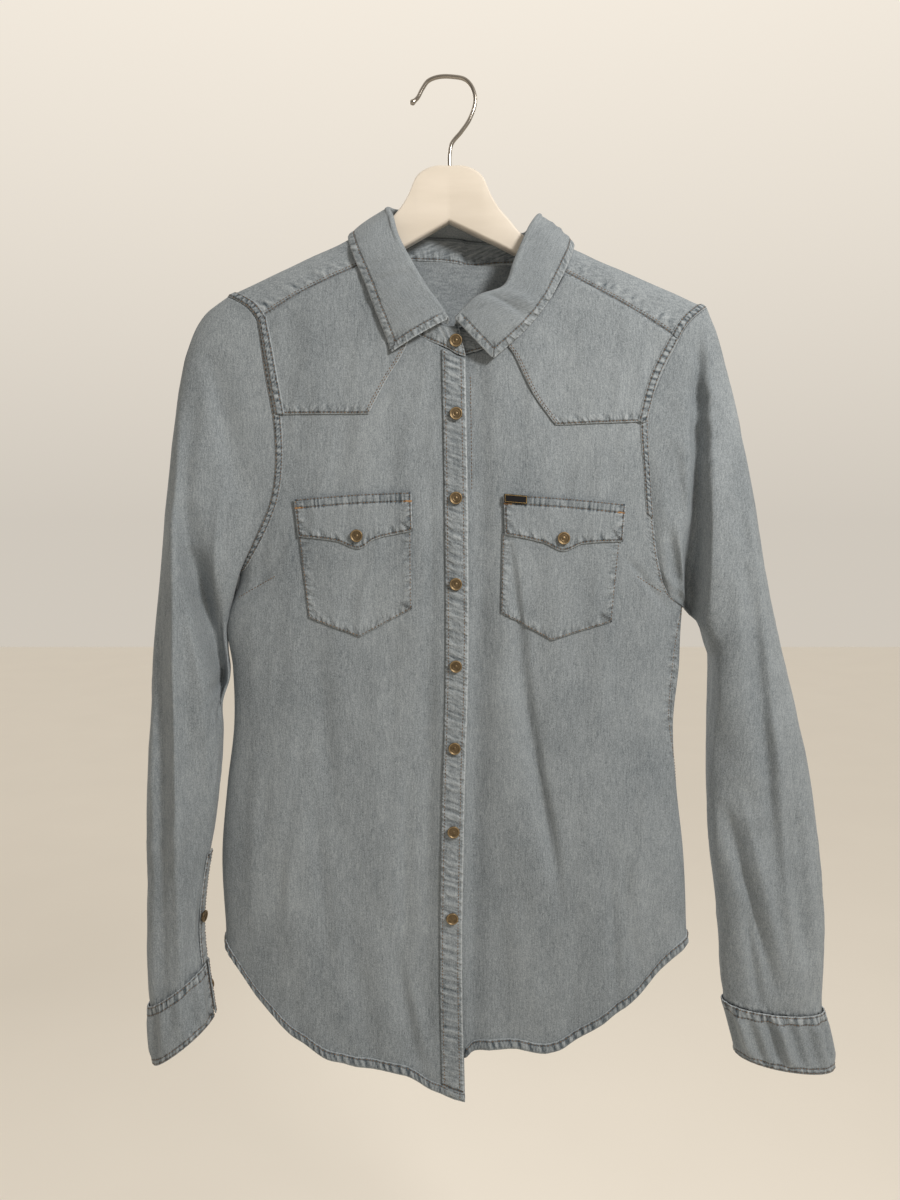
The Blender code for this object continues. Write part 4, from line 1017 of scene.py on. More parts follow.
def stitch(line, thread="tan", pitch=STITCH_PITCH, length=STITCH_LENGTH, radius=STITCH_RADIUS):
    """Lays stitches end to end along a line of points and normals."""
    run = lengths(line[:, :3])
    if run[-1] < pitch:
        return
    for place in np.linspace(pitch / 2, run[-1] - pitch / 2, max(1, int(round(run[-1] / pitch)))):
        begin, end = read(line[:, :3], run, np.array([place - length / 2, place + length / 2]))
        normal = unit(read(line[:, 3:], run, place))
        along = unit(end - begin)
        middle = (begin + end) / 2 + normal * STITCH_LIFT
        add_thread(thread, middle, along * length, np.cross(along, normal) * radius, normal * radius)


def sew(sheet, sides, inset, **where):
    for side in sides:
        stitch(sheet.line(side, inset, **where))


def bartack(line):
    """A thick short bar of close zigzag stitches."""
    run = lengths(line[:, :3])
    for place in np.arange(0.3, run[-1], BAR_PITCH):
        here, ahead = read(line[:, :3], run, np.array([place, place + 0.5]))
        normal, along = unit(read(line[:, 3:], run, place)), unit(ahead - here)
        side = np.cross(along, normal)
        add_thread("orange", here + normal * 0.15, side * BAR_WIDTH, along * BAR_RADIUS, normal * BAR_RADIUS)


def add_thread(thread, middle, along, side, normal):
    points, faces = SEWN.setdefault(thread, ([], []))
    index = len(points) + numbered((len(STITCH_RINGS), STITCH_SIDES))
    for share, thick in STITCH_RINGS:
        sink = 0.9 * (1 - thick)
        for turn in np.arange(STITCH_SIDES) * FULL_TURN / STITCH_SIDES:
            rim = side * math.cos(turn) * thick + normal * (math.sin(turn) * thick - sink)
            points.append(middle + along * share + rim)
    faces.extend(rod(index))


def build_threads():
    for thread, (points, faces) in SEWN.items():
        new_piece("stitches_" + thread, points, faces, THREADS[thread])


def band(panel, part, sheet, side, width, seed, lines=SEAM_STITCHES, trim=(0, 0), span=(0, 1), height=0.75,
         period=5.4, shade=2.9):
    """A felled seam or hem: a strip of doubled cloth along one side of a sheet, drawn up by its sewing."""
    count = int(round(width / BAND_CELL))
    long = len(sheet.line(side, 0, trim, span))
    stack = np.stack([sheet.line(side, width * i / count, trim, span, long) for i in range(count + 1)])
    if side in ("top", "end"):
        stack = stack[::-1]
    lengthwise = side in ("foot", "top")
    if not lengthwise:
        stack = stack.transpose(1, 0, 2)
    points, normals = stack[..., :3], stack[..., 3:]
    strip = Sheet(points)
    over, along = (strip.up, strip.across) if lengthwise else (strip.across, strip.up)
    share = over / over.max(axis=0 if lengthwise else 1, keepdims=True)
    shoulder = np.clip(4 * share, 0, 1) * np.clip(4 * (1 - share), 0, 1)
    drawn = gather(along + 0.35 * (share - 0.5) * width, seed, period) * np.sin(math.pi * share)
    lift = height * (0.25 + 0.75 * smoothstep(shoulder)) + 0.60 * drawn
    lifted = Sheet(points + normals * lift[..., None])
    inwards = lifted.from_side(side)[0]
    # The pucker tone paints shade in the sunken puckers and pales the ones that stand up, a little darker
    # overall.
    obj = cloth(
        panel + "_" + part, lifted, wall=THIN_WALL, free=("foot", "top") if lengthwise else ("start", "end"),
        pucker=shade * (drawn - 0.17), grooves=[inwards - line for line in lines],
    )
    BANDS.setdefault(panel, []).append(obj)
    for line in lines:
        stitch(lifted.line(side, line))


def faint(distance):
    """The distance from a line of stitches that hardly sinks in and gets little painted shade."""
    return np.abs(distance) + 0.75


def edged(sheet, sides, seed, reach=7.0, height=0.4, period=6.5):
    """A piece with its edges folded under and drawn up by topstitching: the sheet and its puckers."""
    near, along = sheet.nearest(sides, apart=APART)
    drawn = gather(along + 0.5 * near, seed, period) * bump_between(near, -0.8, reach, reach * 0.55)
    thin = -0.5 * (1 - smoothstep(near / 1.4))
    return sheet.moved(height * drawn + thin), drawn


# -------- body panels
def hem_curl(along, foot, seed):
    """How far a hem curls out, at this way along it and this far over its edge."""
    return 1.7 * (0.3 + ripple(along, 0 * along, 46, 100, seed)) * bell(foot, 0, 15)


def calm(x, z):
    """0 along a front's armholes, sides and shoulder seams, rising to 1 inside them."""
    right, left = (
        np.interp(-z, [-row[1] for row in rows], [row[0] for row in rows])
        for rows in (ARMHOLE_RIGHT_FRONT, ARMHOLE_LEFT_FRONT)
    )
    top = np.interp(x, *np.array([*YOKE_SEAM_RIGHT, *YOKE_SEAM_LEFT[::-1]], float).T)
    return smoothstep(np.minimum.reduce([x - right, left - x, top - z]) / CALM)


def front_lift(x, z, hem=HEM_RIGHT, curling=1.0):
    """How far the waves, creases and curling hem of the fronts stand out."""
    waves = 0.7 * ripple(x, z, 52, 300, 11) + 1.2 * crumple(x, z, 40, 120, 12)
    foot = np.interp(x, *np.array(hem, float).T)
    return waves * calm(x, z) + curling * hem_curl(x, z - foot, 13) - folds(FRONT_CREASES, x, z)


def build_front_right():
    seam = side_seam("right")
    outline = patch(
        foot=path([seam(0), *with_angle(HEM_RIGHT)]),
        top=as_angle(path(YOKE_SEAM_RIGHT)),
        start=side_edge(seam, ARMHOLE_RIGHT_FRONT),
        end=joined((as_angle(path(LAP_EDGE[::-1])), LAP_SHARE), (front_neck(0, YOKE_STATIONS[0]), 1.0)),
    )
    flat = Sheet(on_body(grid(outline, width=225, length=700)))
    x, _, z = split(flat.points)
    sheet = flat.moved(front_lift(x, z))
    lay("front_right", sheet, "hanger_body", sewn=("start", "top", "foot"))
    sew_front(sheet, "front_right", "start", 21, SIDE_SHARE)


def build_front_left():
    seam = side_seam("left")
    edge = as_angle(path([(LAP_UNDER, HEM_LEFT[0][1]), COLLAR[-1].n[:2]]))
    outline = patch(
        foot=path([*with_angle(HEM_LEFT), seam(0)]),
        top=as_angle(path(YOKE_SEAM_LEFT[::-1])),
        start=joined((edge, LAP_SHARE), (front_neck(LAST_STATION, YOKE_STATIONS[1]), 1.0)),
        end=side_edge(seam, ARMHOLE_LEFT_FRONT),
    )
    flat = Sheet(on_body(grid(outline, width=235, length=700)))
    x, _, z = split(flat.points)
    under = lap(x, z)
    flat.points[..., 1] += under
    sheet = Sheet(flat.points).moved(front_lift(x, z, HEM_LEFT, 1 - under / LAP_DEPTH))
    stitch(sheet.line("start", UNDER_BAND, span=UNDER_STITCHES))
    lay("front_left", sheet, "hanger_body", sewn=("end", "top", "foot"))
    sew_front(sheet, "front_left", "end", 22, LEFT_BAND_FROM, hem_from=LAP_CLEAR + LAP_EASE)


def sew_front(sheet, panel, side, seed, armhole_from, hem_from=0):
    """The felled armhole seam, the side seam and the hem of one front."""
    band(panel, "armhole", sheet, side, SEAM_BAND, seed, span=(armhole_from, 1), height=0.9,
         period=SEAM_PERIOD)
    sew(sheet, [side], SIDE_STITCHES, span=(0, armhole_from), trim=(5, 0))
    band(panel, "hem", sheet, "foot", HEM_BAND, seed + 2, HEM_STITCHES, trim=(hem_from, 0), height=1.7,
         period=6.2, shade=2.6)


def build_back():
    left_seam, right_seam = side_seam("left"), side_seam("right", -360)
    outline = patch(
        foot=path([left_seam(0), *with_angle(HEM_BACK, -1), right_seam(0)]),
        top=as_angle(path(YOKE_SEAM_BACK[::-1]), -1),
        start=side_edge(left_seam, ARMHOLE_LEFT_BACK, -1),
        end=side_edge(right_seam, ARMHOLE_RIGHT_BACK, -1),
    )
    flat = Sheet(on_body(grid(outline, width=430, length=610, step=BACK_STEP)))
    x, _, z = split(flat.points)
    rim = smoothstep(np.minimum.reduce([flat.from_side(side)[0] for side in ("top", "start", "end")]) / CALM)
    waves = 0.9 * ripple(x, z, 52, 300, 14) + 1.2 * crumple(x, z, 44, 130, 15)
    curl = hem_curl(x, flat.from_side("foot")[0], 16)
    sheet = flat.moved(waves * rim + curl - folds(BACK_CREASES, x, z))
    lay("back", sheet, "hanger_body", sewn=("start", "end", "top", "foot"))
    for side, seed in (("start", 31), ("end", 34)):
        band("back", "armhole_" + side, sheet, side, SEAM_BAND, seed, span=(SIDE_SHARE, 1), height=0.9)
    band("back", "hem", sheet, "foot", HEM_BAND, 37, HEM_STITCHES, height=1.5, period=6.0, shade=1.8)


def build_yoke():
    seam_right = as_reach(path(YOKE_SEAM_RIGHT), -1)
    seam_left = as_reach(path(YOKE_SEAM_LEFT[::-1]), -1)
    back = as_reach(path(YOKE_SEAM_BACK), 1)
    neck = neck_between(*YOKE_STATIONS)
    outline = patch(
        foot=joined((seam_right, YOKE_NECK[0]), (neck, YOKE_NECK[1]), (seam_left, 1.0)),
        top=lambda share: back(np.interp(share, (0, *YOKE_NECK, 1), (0, *YOKE_BACK, 1))),
        start=path([seam_right(0.0), (SHOULDER_TIPS["right"], 0.0), back(0.0)]),
        end=path([seam_left(1.0), (SHOULDER_TIPS["left"], 0.0), back(1.0)]),
    )
    flat = Sheet(over_ridge(grid(outline, width=YOKE_WIDTH, length=190, step=YOKE_STEP)))
    share = spaced(YOKE_WIDTH, YOKE_STEP)[None]
    front, along = flat.from_side("foot")
    front = np.where((share < YOKE_NECK[0]) | (share > YOKE_NECK[1]), front, FAR)
    behind, beyond = flat.from_side("top")
    drawn = gather(along + 0.35 * front, 41, 8.2) * bump_between(front, -0.8, 16, 9)
    drawn = drawn + gather(beyond + 0.35 * behind, 42, 8.2) * bump_between(behind, -0.8, 16, 9)
    drawn = drawn * (0.7 + 0.5 * ripple(flat.across, flat.up, 34, 90, 45))
    sheet = flat.moved(0.8 * drawn + 0.3 * ripple(flat.across, flat.up, 52, 90, 43))
    lay(
        "yoke", sheet, "hanger_body", sewn=("start", "end"), pucker=2.2 * drawn,
        weave=sheet.points[..., ::-1] * (0.6, 1.3, 1.0),
        grooves=(front - YOKE_STITCHES[0], faint(front - YOKE_STITCHES[1]), behind - YOKE_STITCHES[0]),
    )
    for inset in YOKE_STITCHES:
        sew(sheet, ["foot"], inset, span=(0, YOKE_NECK[0]))
        sew(sheet, ["foot"], inset, span=(YOKE_NECK[1], 1))
        sew(sheet, ["top"], inset)
    for side, seed in (("start", 43), ("end", 44)):
        band("yoke", "armhole_" + side, sheet, side, SEAM_BAND, seed, height=1.1, period=SEAM_PERIOD)


# -------- what lies on the fronts
def on_front(outline, layers=1):
    """Points on the fronts from an array of (x, z), this many layers of cloth up."""
    x, z = split(outline)
    return np.stack([x, body_y(x, z) - layers * (LAYER + WALL) - front_lift(x, z), z], axis=-1)


def sew_darts():
    for dart in DARTS:
        points = on_front(path(dart)(np.linspace(0, 1, DART_POINTS)), layers=0)
        stitch(np.hstack([points, np.tile((0.0, -1.0, 0.0), (DART_POINTS, 1))]))


def build_front_yokes():
    near, far = FRONT_YOKE_STITCHES
    for side, seed in (("right", 51), ("left", 55)):
        shape = FRONT_YOKES[side]
        inner = "end" if side == "right" else "start"
        outer = "start" if side == "right" else "end"
        edges = {outer: path(shape["armhole"]), inner: path(shape["neck"])}
        start, end = edges["start"], edges["end"]
        outline = patch(
            foot=path([start(0.0), end(0.0)]), top=path([start(1.0), shape["middle"], end(1.0)]),
            start=start, end=end,
        )
        flat = Sheet(on_front(grid(outline, width=92, length=110, step=SMALL_STEP)))
        sheet, drawn = edged(flat, ["foot"], seed, reach=11.0, height=0.6, period=5.0)
        showing = np.arange(len(sheet.points))[:, None] < YOKE_EDGE_SHARE * len(sheet.points)
        slant = np.where(showing, sheet.from_side(inner)[0], FAR)
        # Painted highlight: a pale line along the slanted edge, where light catches the step of the yoke,
        # with pucker tone just inside it.
        edge_highlight_and_puckers = 1.3 * bell(slant, 0, 1.2) + 0.35 * gather(sheet.up, seed + 1, 5.0) * (slant < 5)
        grooves = (sheet.from_side("foot")[0] - near, faint(slant - near), faint(slant - far))
        name = "front_yoke_" + side
        lay(
            name, sheet, "front_" + side, sewn=["foot"], free=["foot"], pucker=1.3 * drawn + edge_highlight_and_puckers,
            grooves=grooves,
        )
        sew(sheet, ["foot"], near, trim=(2, 2))
        for inset in (near, far):
            sew(sheet, [inner], inset, trim=(inset, 0), span=(0, YOKE_EDGE_SHARE))
        band(name, "armhole", sheet, outer, SEAM_BAND, seed + 2, height=1.0, period=SEAM_PERIOD)


def build_placket():
    def outline(u, v):
        z = mix(mix(*PLACKET_FOOT, u)[None], mix(*PLACKET_TOP, u)[None], v[:, None])
        edge = lap_edge_x(z) - PLACKET_INSET
        return np.stack([mix(edge - PLACKET_WIDTH, edge, u[None]), z], axis=-1)

    flat = Sheet(on_front(grid(outline, width=PLACKET_WIDTH, length=640, step=FINE_STEP)))
    share = flat.across / flat.across[:, -1:]
    drawn = gather(flat.up + 0.6 * share, 61, 6.0) * bump_between(share, 0.08, 0.82, 0.16)
    drawn = drawn * (0.75 + 0.25 * gather(flat.up * 0.31, 62, 9.0))
    sheet = flat.moved(0.45 * drawn - 0.3 * (bell(share, 0.13, 0.03) + bell(share, 0.80, 0.03)))
    seams = {"start": 2.4, "end": 3.8, "foot": 7.0}
    start, end, foot = (sheet.from_side(side)[0] for side in seams)
    lay(
        "placket", sheet, "front_right", sewn=("start", "end"), free=("end", "foot"),
        pucker=1.5 * drawn + 2.0 * bell(end, 0, 1.1),
        grooves=(faint(start - seams["start"]), faint(end - seams["end"]), foot - seams["foot"]),
    )
    for side, inset in seams.items():
        sew(sheet, [side], inset)


def build_pockets():
    for side, seed in (("right", 71), ("left", 75)):
        outline = four_sided(POCKETS[side], straight=True)
        flat = Sheet(on_front(grid(outline, width=95, length=80, step=SMALL_STEP)))
        edges = ("foot", "start", "end")
        sheet, drawn = edged(flat, edges, seed, reach=5.0, height=0.2)
        groove = faint(sheet.nearest(edges)[0] - EDGE_STITCHES)
        lay("pocket_" + side, sheet, "front_" + side, sewn=edges, pucker=0.5 * drawn, grooves=(groove,))
        sew(sheet, edges, EDGE_STITCHES, trim=(EDGE_STITCHES, EDGE_STITCHES))
        build_flap(side, seed + 2)


def build_flap(side, seed):
    flat = Sheet(on_front(grid(four_sided(FLAPS[side]), width=98, length=36, step=FINE_STEP), layers=2))
    edges = ("foot", "start", "end")
    sheet, drawn = edged(flat, edges, seed, reach=8.0, height=0.5)
    top, along = sheet.from_side("top")
    fan = along + 0.12 * (top - 4) * ripple(along, top, 30, 60, seed + 8)
    gathered = gather(fan, seed + 9, 3.3) * bump_between(top, -0.6, 11.5, 3.6)
    gathered = gathered * (0.7 + 0.5 * ripple(along, top, 22, 40, seed + 7))
    sheet = sheet.moved(0.8 * gathered - 0.6 * bell(top, FLAP_BAND, 0.9))
    drawn = 1.3 * drawn + 2.3 * gathered - 0.55 * bump_between(top, 0.5, 9.0, 2.0)
    near = sheet.nearest(edges)[0]
    lay(
        "flap_" + side, sheet, "pocket_" + side, sewn=edges, free=edges, pucker=drawn,
        grooves=(near - FLAP_EDGE, top - FLAP_BAND, top - FLAP_TOP),
    )
    sew(sheet, edges, FLAP_EDGE, trim=(FLAP_EDGE, 1.2))
    for inset in (FLAP_TOP, FLAP_BAND):
        sew(sheet, ["top"], inset, trim=(2, 2))
    bar = sheet.line("top", BAR_INSET)
    bartack(bar[:BAR_POINTS])
    bartack(bar[-BAR_POINTS:])


def build_label():
    sheet = Sheet(on_front(grid(four_sided(LABEL), width=19, length=7, step=LABEL_STEP), layers=3))
    edges = ("foot", "top", "start", "end")
    obj = cloth("label", sheet, LABEL_CLOTH, slot="label", node="label", wall=THIN_WALL, free=edges)
    for side in edges:
        stitch(sheet.line(side, 0.7, trim=(0.7, 0.7)), thread="gold", pitch=1.1, length=1.2, radius=0.2)
    BANDS.setdefault("flap_left", []).append(obj)


# -------- collar
def station(share, column):
    if column == "n":
        place = over_ridge(neckline(share))
    else:
        place = hermite(STATION_KNOTS, [getattr(row, column) for row in COLLAR], share)
    if column in "ns":
        place[..., 1] += lap(place[..., 0], place[..., 2]) * (share > 0.5)
    return place


def outwards(share):
    """The level direction from the inside of the collar to its outside."""
    return unit((station(share, "r") - NECK_AXIS) * (1, 1, 0))


def collar_weave(sheet, start=0):
    """Where each point lies among threads that run along the collar."""
    return np.stack([sheet.up, 0 * sheet.up, sheet.across + start], axis=-1)


def build_collar_band():
    share = spaced(COLLAR_LENGTH, BAND_STEP)
    low, high = station(share, "n"), station(share, "s")
    along = unit(high - low)
    low, high = low + along * BAND_FOOT, high - along * BAND_TOP
    flat = Sheet(mix(low[None], high[None], spaced(25, BAND_STEP)[:, None, None]))
    edges = ("foot", "start", "end")
    drawn = 0.5 * gather(flat.across, 81, 5.6) + 0.7 * ripple(flat.across, flat.up, 9, 11, 82)
    drawn = drawn * bump_between(flat.up / flat.up[-1:], 0, 1, 0.3)
    sheet = flat.moved(-0.4 * drawn)
    lay(
        "collar_band", sheet, ("yoke", "front_right", "front_left"), sewn=edges, free=edges,
        pucker=-1.6 * drawn, both_ways=True, weave=collar_weave(sheet, 700),
        grooves=(sheet.nearest(edges)[0] - BAND_STITCHES, sheet.from_side("top")[0] - 1.2),
    )
    outside = Sheet(sheet.points - sheet.normals() * WALL / 2).line("foot", BAND_STITCHES)
    inside = sheet.line("foot", BAND_STITCHES)
    inside[:, :3] += inside[:, 3:] * (WALL / 2)
    outside[:, 3:] *= -1
    stitch(outside)
    stitch(inside)


def leaf(shares, downs):
    """The collar leaf: down is 0 at its seam with the band and 1 at its outer edge."""
    seam, roll, edge = (station(shares, column)[None] for column in "sre")
    out = outwards(shares)[None]
    centre = roll + (out - UP) * ROLL_RADIUS
    down = downs[:, None, None]
    begin, end = LEAF_ROLL
    rise = mix(seam + UP * LEAF_FOOT, centre - out * ROLL_RADIUS, down / begin)
    turn = math.pi * np.clip((down - begin) / (end - begin), 0, 1)
    over = centre + (UP * np.sin(turn) - out * np.cos(turn)) * ROLL_RADIUS
    fall = np.clip((down - end) / (1 - end), 0, 1)
    hang = mix(centre + out * ROLL_RADIUS, edge, fall) + out * LEAF_BOW * np.sin(math.pi * fall)
    return np.where(down < begin, rise, np.where(down < end, over, hang))


def build_collar_leaf():
    ends = [number / LAST_STATION for number in LEAF_STATIONS]
    shares = mix(*ends, spaced(LEAF_LENGTH, BAND_STEP))
    parts = ((0, LEAF_ROLL[0], 9), (*LEAF_ROLL, 8), (LEAF_ROLL[1], 1, 26))
    downs = np.concatenate([*[np.linspace(low, high, rows + 1)[:-1] for low, high, rows in parts], [1.0]])
    flat = Sheet(leaf(shares, downs))
    fallen = smoothstep((downs - 0.42) / 0.12)[:, None]
    edges = ("top", "start", "end")
    near, along = flat.nearest(edges, apart=APART)
    drawn = gather(along + 0.8 * near, 91, 6.2) * bump_between(near, 0.2, 6.6, 2.6) * fallen
    bent = ripple(flat.across, flat.up, 70, 90, 92) * 0.5 + crumple(flat.across, flat.up, 38, 50, 93)
    bent = bent - folds(LEAF_CREASES, flat.across[-1:], -flat.up)
    edge = 0.35 * bell(near, LEAF_STITCHES, 0.9) + 0.3 * (1 - smoothstep(near / 1.3))
    sheet = flat.moved(0.5 * drawn + (bent - edge) * fallen)
    near = np.where(fallen > 0.5, near, FAR)
    lay(
        "collar_leaf", sheet, "collar_band", sewn=edges, free=edges, pucker=1.3 * drawn, both_ways=True,
        weave=collar_weave(sheet), grooves=(near - LEAF_STITCHES,),
    )
    outer = Sheet(sheet.points + sheet.normals() * WALL / 2)
    sew(outer, ["top"], LEAF_STITCHES, trim=(6, 6))
    sew(outer, ["start", "end"], LEAF_STITCHES, trim=(0, LEAF_STITCHES), span=(0.45, 1))


# -------- sleeves
def ring(rows, up, column):
    order = rows[::-1]
    return hermite(np.linspace(0, 1, len(order)), [getattr(row, column) for row in order], up)


def yoke_end(side):
    """The yoke's edge over a shoulder, from its seam in front to the one behind, as (x, reach)."""
    front, behind = ARMHOLES[side]
    return path([with_reach(front[0], -1), (SHOULDER_TIPS[side], 0.0), with_reach(behind[0], 1)])


def armhole_paths(side):
    """The whole armhole in front and behind, as (x, z), from the side towards -X to the other."""
    over = over_ridge(yoke_end(side)(np.linspace(0, 1, TIP_POINTS)))[:, ::2]
    tip = int(np.argmax(over[:, 1]))
    below = [path(line)(np.linspace(0, 1, ARMHOLE_POINTS)) for line in ARMHOLES[side]]
    lines = [np.concatenate([over[tip::-1], below[0][1:]]), np.concatenate([over[tip:], below[1][1:]])]
    return [path(line[::-1] if side == "left" else line, straight=True) for line in lines]


def tube(rows, around, up, side=None, room=0.0):
    """A cuff, or with a side a sleeve. around is 0 at its side towards -X, 0.25 in front and 0.5 opposite."""
    front = (around <= 0.5)[None]
    across = np.where(around <= 0.5, 2 * around, 2 * (1 - around))
    across = ((1 - np.cos(math.pi * across)) / 2)[None]
    sides = [ring(rows, up, "outer"), ring(rows, up, "inner")]
    ends = [np.array(rows[0].outer, float), np.array(rows[0].inner, float)]
    if rows[0].outer[0] > 0:
        sides.reverse()
        ends.reverse()
    shift = np.array([room, 0.0])
    place = mix((sides[0] - shift)[:, None], (sides[1] + shift)[:, None], across[..., None])
    fullness = (1 - np.abs(2 * across - 1) ** SLEEVE_SQUARENESS) ** (1 / SLEEVE_SQUARENESS)
    stands = np.where(front, ring(rows, up, "front")[:, None], ring(rows, up, "back")[:, None]) + room
    y = ring(rows, up, "mid")[:, None] + np.where(front, -stands, stands) * fullness
    if side is None:
        return np.stack([place[..., 0], y, place[..., 1]], axis=-1)
    hole = np.where(front[..., None], *[run(across) for run in armhole_paths(side)])
    straight = mix(ends[0], ends[1], across[..., None])
    bend = smoothstep((up - STRAIGHT_FROM) / (1 - STRAIGHT_FROM))[:, None]
    x, z = split(place + bend[..., None] * (hole - straight))
    rim = [body_y(hole[..., 0], hole[..., 1], column) for column in ("front", "back")]
    y = np.where(fullness > 0.01, mix(y, np.where(front, *rim), bend), y)
    give = np.minimum(1.0, 1.6 * fullness) * np.minimum(1.0, 40 * (1 - up))[:, None]
    push = np.where(front, *[sign * folds(rows, x, z) for sign, rows in zip((1, -1), SLEEVE_FOLDS[side])])
    return np.stack([x, y + push * give, z], axis=-1)


def build_sleeves():
    for side, seed, lean in (("right", 101, 1.0), ("left", 105, -7.0)):
        around = spaced(300, SLEEVE_STEP)
        up = mix(*SLEEVE_SPAN, spaced(580, SLEEVE_STEP))
        flat = Sheet(tube(SLEEVES[side], around, up, side), closed=True)
        ends = flat.nearest(["foot", "top"])[0]
        turn = FULL_TURN * around[None]
        waves = ripple(np.sin(turn) * 40, flat.up, 60, 240, seed)
        waves = waves + ripple(np.cos(turn) * 40 + 200, flat.up * 1.1, 60, 240, seed + 1)
        waves = 0.9 * waves + 1.5 * crumple(np.sin(turn) * 60 + np.cos(turn) * 25, flat.up, 46, 90, seed + 2)
        sheet = flat.moved(waves * smoothstep(ends / SLEEVE_CALM))
        rests_on = ("yoke", "front_" + side, "back")
        lay("sleeve_" + side, sheet, rests_on, sewn=["foot"], weave=upright(sheet.points, lean))


def build_gauntlets():
    for side, seed in (("right", 111), ("left", 113)):
        strip = GAUNTLETS[side]
        around = mix(*strip["around"], spaced(20, CUFF_STEP))
        up = mix(*strip["along"], spaced(100, CUFF_STEP))
        flat = Sheet(tube(SLEEVES[side], around, up, side, room=LAYER + WALL))
        edges = ("start", "end", "top")
        sheet, drawn = edged(flat, edges, seed, reach=6.0, height=0.3)
        groove = sheet.nearest(edges)[0] - EDGE_STITCHES
        lay(
            "gauntlet_" + side, sheet, "sleeve_" + side, sewn=edges, free=edges, pucker=drawn,
            grooves=(groove,),
        )
        sew(sheet, edges, EDGE_STITCHES, trim=(EDGE_STITCHES, EDGE_STITCHES))


def build_cuffs():
    for side, seed in (("right", 121), ("left", 124)):
        slit, gape = CUFF_SLITS[side]
        around = (slit + gape / 2 + spaced(190, CUFF_STEP) * (1 - gape)) % 1.0
        flat = Sheet(tube(CUFFS[side], around, spaced(62, CUFF_STEP), room=CUFF_ROOM))
        edges = ("foot", "top", "start", "end")
        sheet, drawn = edged(flat, edges, seed, reach=6.0, height=0.35)
        top, along = sheet.from_side("top")
        gathered = gather(along, seed + 1, 5.4) * bump_between(top, -0.4, 9.6, 2.6)
        inside = smoothstep(sheet.nearest(edges)[0] / 16)
        sheet = sheet.moved(0.6 * gathered + 2.6 * inside * ripple(sheet.across, sheet.up, 26, 200, seed + 2))
        foot, along = sheet.from_side("foot")
        pinched = gather(along, seed + 3, 4.6) * bump_between(foot, -0.4, 7.0, 2.4)
        sheet = sheet.moved(0.4 * pinched)
        top, foot, near = sheet.from_side("top")[0], sheet.from_side("foot")[0], sheet.nearest(edges)[0]
        lay(
            "cuff_" + side, sheet, "sleeve_" + side, sewn=edges, free=edges,
            pucker=1.2 * drawn + 2.2 * gathered + 1.6 * pinched,
            grooves=(near - CUFF_EDGE, top - CUFF_SEAMS[0], foot - CUFF_SEAMS[1]),
        )
        sew(sheet, edges, CUFF_EDGE, trim=(1.5, 1.5))
        for edge, inset in zip(("top", "foot"), CUFF_SEAMS):
            sew(sheet, [edge], inset, trim=(1.5, 1.5))


# -------- buttons and hanger
def turned(profile, sides):
    """Points and faces of a profile of (radius, height) turned round the Z axis."""
    rows, points, faces = [], [], []
    for radius, height in profile:
        count = sides if radius else 1
        rows.append([len(points) + i % count for i in range(sides)])
        turns = FULL_TURN * np.arange(count) / count
        points.extend((radius * math.cos(turn), radius * math.sin(turn), height) for turn in turns)
    for one, other in zip(rows, rows[1:]):
        for i in range(sides):
            j = (i + 1) % sides
            faces.append(list(dict.fromkeys([one[i], other[i], other[j], one[j]])))
    return np.array(points), faces


def build_buttons():
    """The turned buttons, each on the foot of its plain solid and facing as it does."""
    shape, faces = turned(BUTTON_PROFILE, BUTTON_SIDES)
    for name in [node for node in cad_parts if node.startswith("button_")]:
        corners = np.array([vert.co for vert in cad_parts[name].data.vertices]) / MM
        centre = corners.mean(axis=0)
        facing = np.linalg.svd(corners - centre)[2][2]
        facing = -facing if facing[1] > 0 else facing
        across = unit(np.cross(facing, UP))
        foot = centre + facing * ((corners - centre) @ facing).min()
        placed = foot + shape @ np.array([across, -np.cross(across, facing), facing])
        obj = new_piece(name + "_turned", placed, faces, BRASS, name)
        write_attribute(obj.data, "turned", np.hypot(shape[:, 0], shape[:, 1]), "FLOAT")


def rounded(half, swing):
    """Out to half a width and back, with round edges."""
    corner = np.minimum(BOARD_ROUND, half - BOARD_FLAT)
    return np.sign(swing) * (half - corner) + swing * corner


def build_hanger():
    knots, tops, feet, thicks = np.array(HANGER, float).T
    runs = [np.linspace(a, b, max(3, int((b - a) / BOARD_STEP)))[:-1] for a, b in zip(knots, knots[1:])]
    x = np.concatenate([*runs, knots[-1:]])
    top, thick = (hermite(knots, values, x)[:, None] for values in (tops, thicks))
    foot = np.interp(x, knots, feet)[:, None]
    turn = np.arange(BOARD_SIDES) / BOARD_SIDES * FULL_TURN
    y = rounded(thick / 2, np.cos(turn))
    z = (top + foot) / 2 + rounded((top - foot) / 2, np.sin(turn))
    points = np.stack([np.broadcast_to(x[:, None], y.shape), y, z], axis=-1)
    new_piece("hanger_board", points, rod(numbered(points.shape)), PAINT, "hanger_body")


def build_hook():
    """The drawn wire, with a small knob on its end."""
    share = np.linspace(0, 1, HOOK_RINGS)
    line = path(HOOK_PATH)(share)
    tangent = unit(np.gradient(line, axis=0))
    left = (1 - share) * HOOK_LENGTH
    radius = WIRE_RADIUS + KNOB["out"] * bell(left, KNOB["from_end"], KNOB["width"])
    round_end = 1 - (1 - np.minimum(left, KNOB["from_end"]) / KNOB["from_end"]) ** 2
    radius = (radius * np.sqrt(np.clip(round_end, 0.04, 1)))[:, None]
    turn = np.arange(WIRE_SIDES) / WIRE_SIDES * FULL_TURN
    x = line[:, :1] - tangent[:, 1:] * np.cos(turn) * radius
    z = line[:, 1:] + tangent[:, :1] * np.cos(turn) * radius
    points = np.stack([x, np.sin(turn) * radius, z], axis=-1)
    new_piece("hook_wire", points, rod(numbered(points.shape)), CHROME, "hanger_hook")


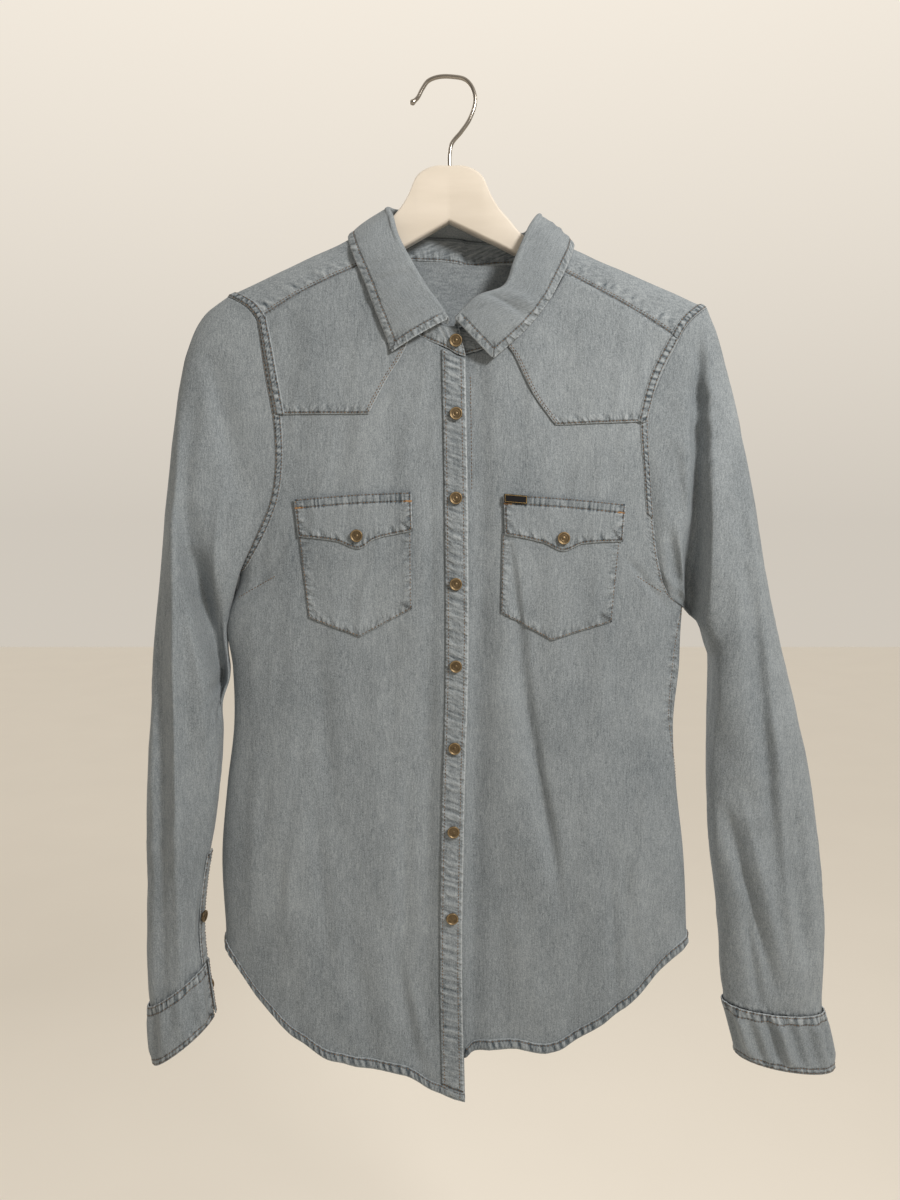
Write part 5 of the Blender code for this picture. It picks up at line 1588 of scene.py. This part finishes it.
# -------- light and view
def area_light(name, place, size, power, colour):
    lamp = bpy.data.lights.new(name, "AREA")
    lamp.shape = "DISK"
    lamp.size = size
    lamp.energy = power
    lamp.color = colour
    obj = add_object(name, lamp)
    obj.location = place
    obj.rotation_euler = (Vector(LIT_POINT) - Vector(place)).to_track_quat("-Z", "Y").to_euler()


def build_stage():
    corners = [(x * FLOOR_HALF, y * FLOOR_HALF, FLOOR_Z) for x, y in ((-1, -1), (1, -1), (1, 1), (-1, 1))]
    mesh = bpy.data.meshes.new("floor")
    mesh.from_pydata(corners, [], [(0, 1, 2, 3)])
    mesh.materials.append(floor_paint((0.86, 0.825, 0.765)))
    add_object("floor", mesh)
    area_light("window", (0.76, -0.96, 0.36), size=0.28, power=16.5, colour=(1.0, 0.955, 0.89))
    area_light("room_back", (-0.8, 1.3, 0.2), size=1.2, power=8.0, colour=(1.0, 0.98, 0.95))


def build_world():
    """A pale room, brighter overhead and dimmer on the side that the shirt faces."""
    world = bpy.data.worlds.new("room")
    world.use_nodes = True
    made = Nodes(world.node_tree)
    _, y, z = made.split(made.place("Generated"))
    behind = made.span(y, -0.6, 0.4, 0.22, 0.66, kind="LINEAR")
    above = made.span(z, 0.0, 0.5, 0.0, 0.30, kind="LINEAR")
    background = world.node_tree.nodes["Background"]
    made.put(background.inputs["Strength"], made.total(behind, above))
    made.put(background.inputs["Color"], (0.95, 0.875, 0.77, 1))
    bpy.context.scene.world = world


def build_camera():
    lens = bpy.data.cameras.new("camera")
    lens.lens = CAMERA_LENS
    camera = add_object("camera", lens)
    camera.location = CAMERA_PLACE
    camera.rotation_euler = (math.radians(CAMERA_TILT), 0, 0)
    bpy.context.scene.camera = camera
    bpy.context.scene.view_settings.view_transform = "Standard"


build_hanger()
build_hook()
build_back()
build_front_right()
build_front_left()
build_yoke()
build_front_yokes()
sew_darts()
build_placket()
build_pockets()
build_label()
build_collar_band()
build_collar_leaf()
build_sleeves()
build_gauntlets()
build_cuffs()
build_buttons()
build_threads()
build_stage()
build_world()
build_camera()
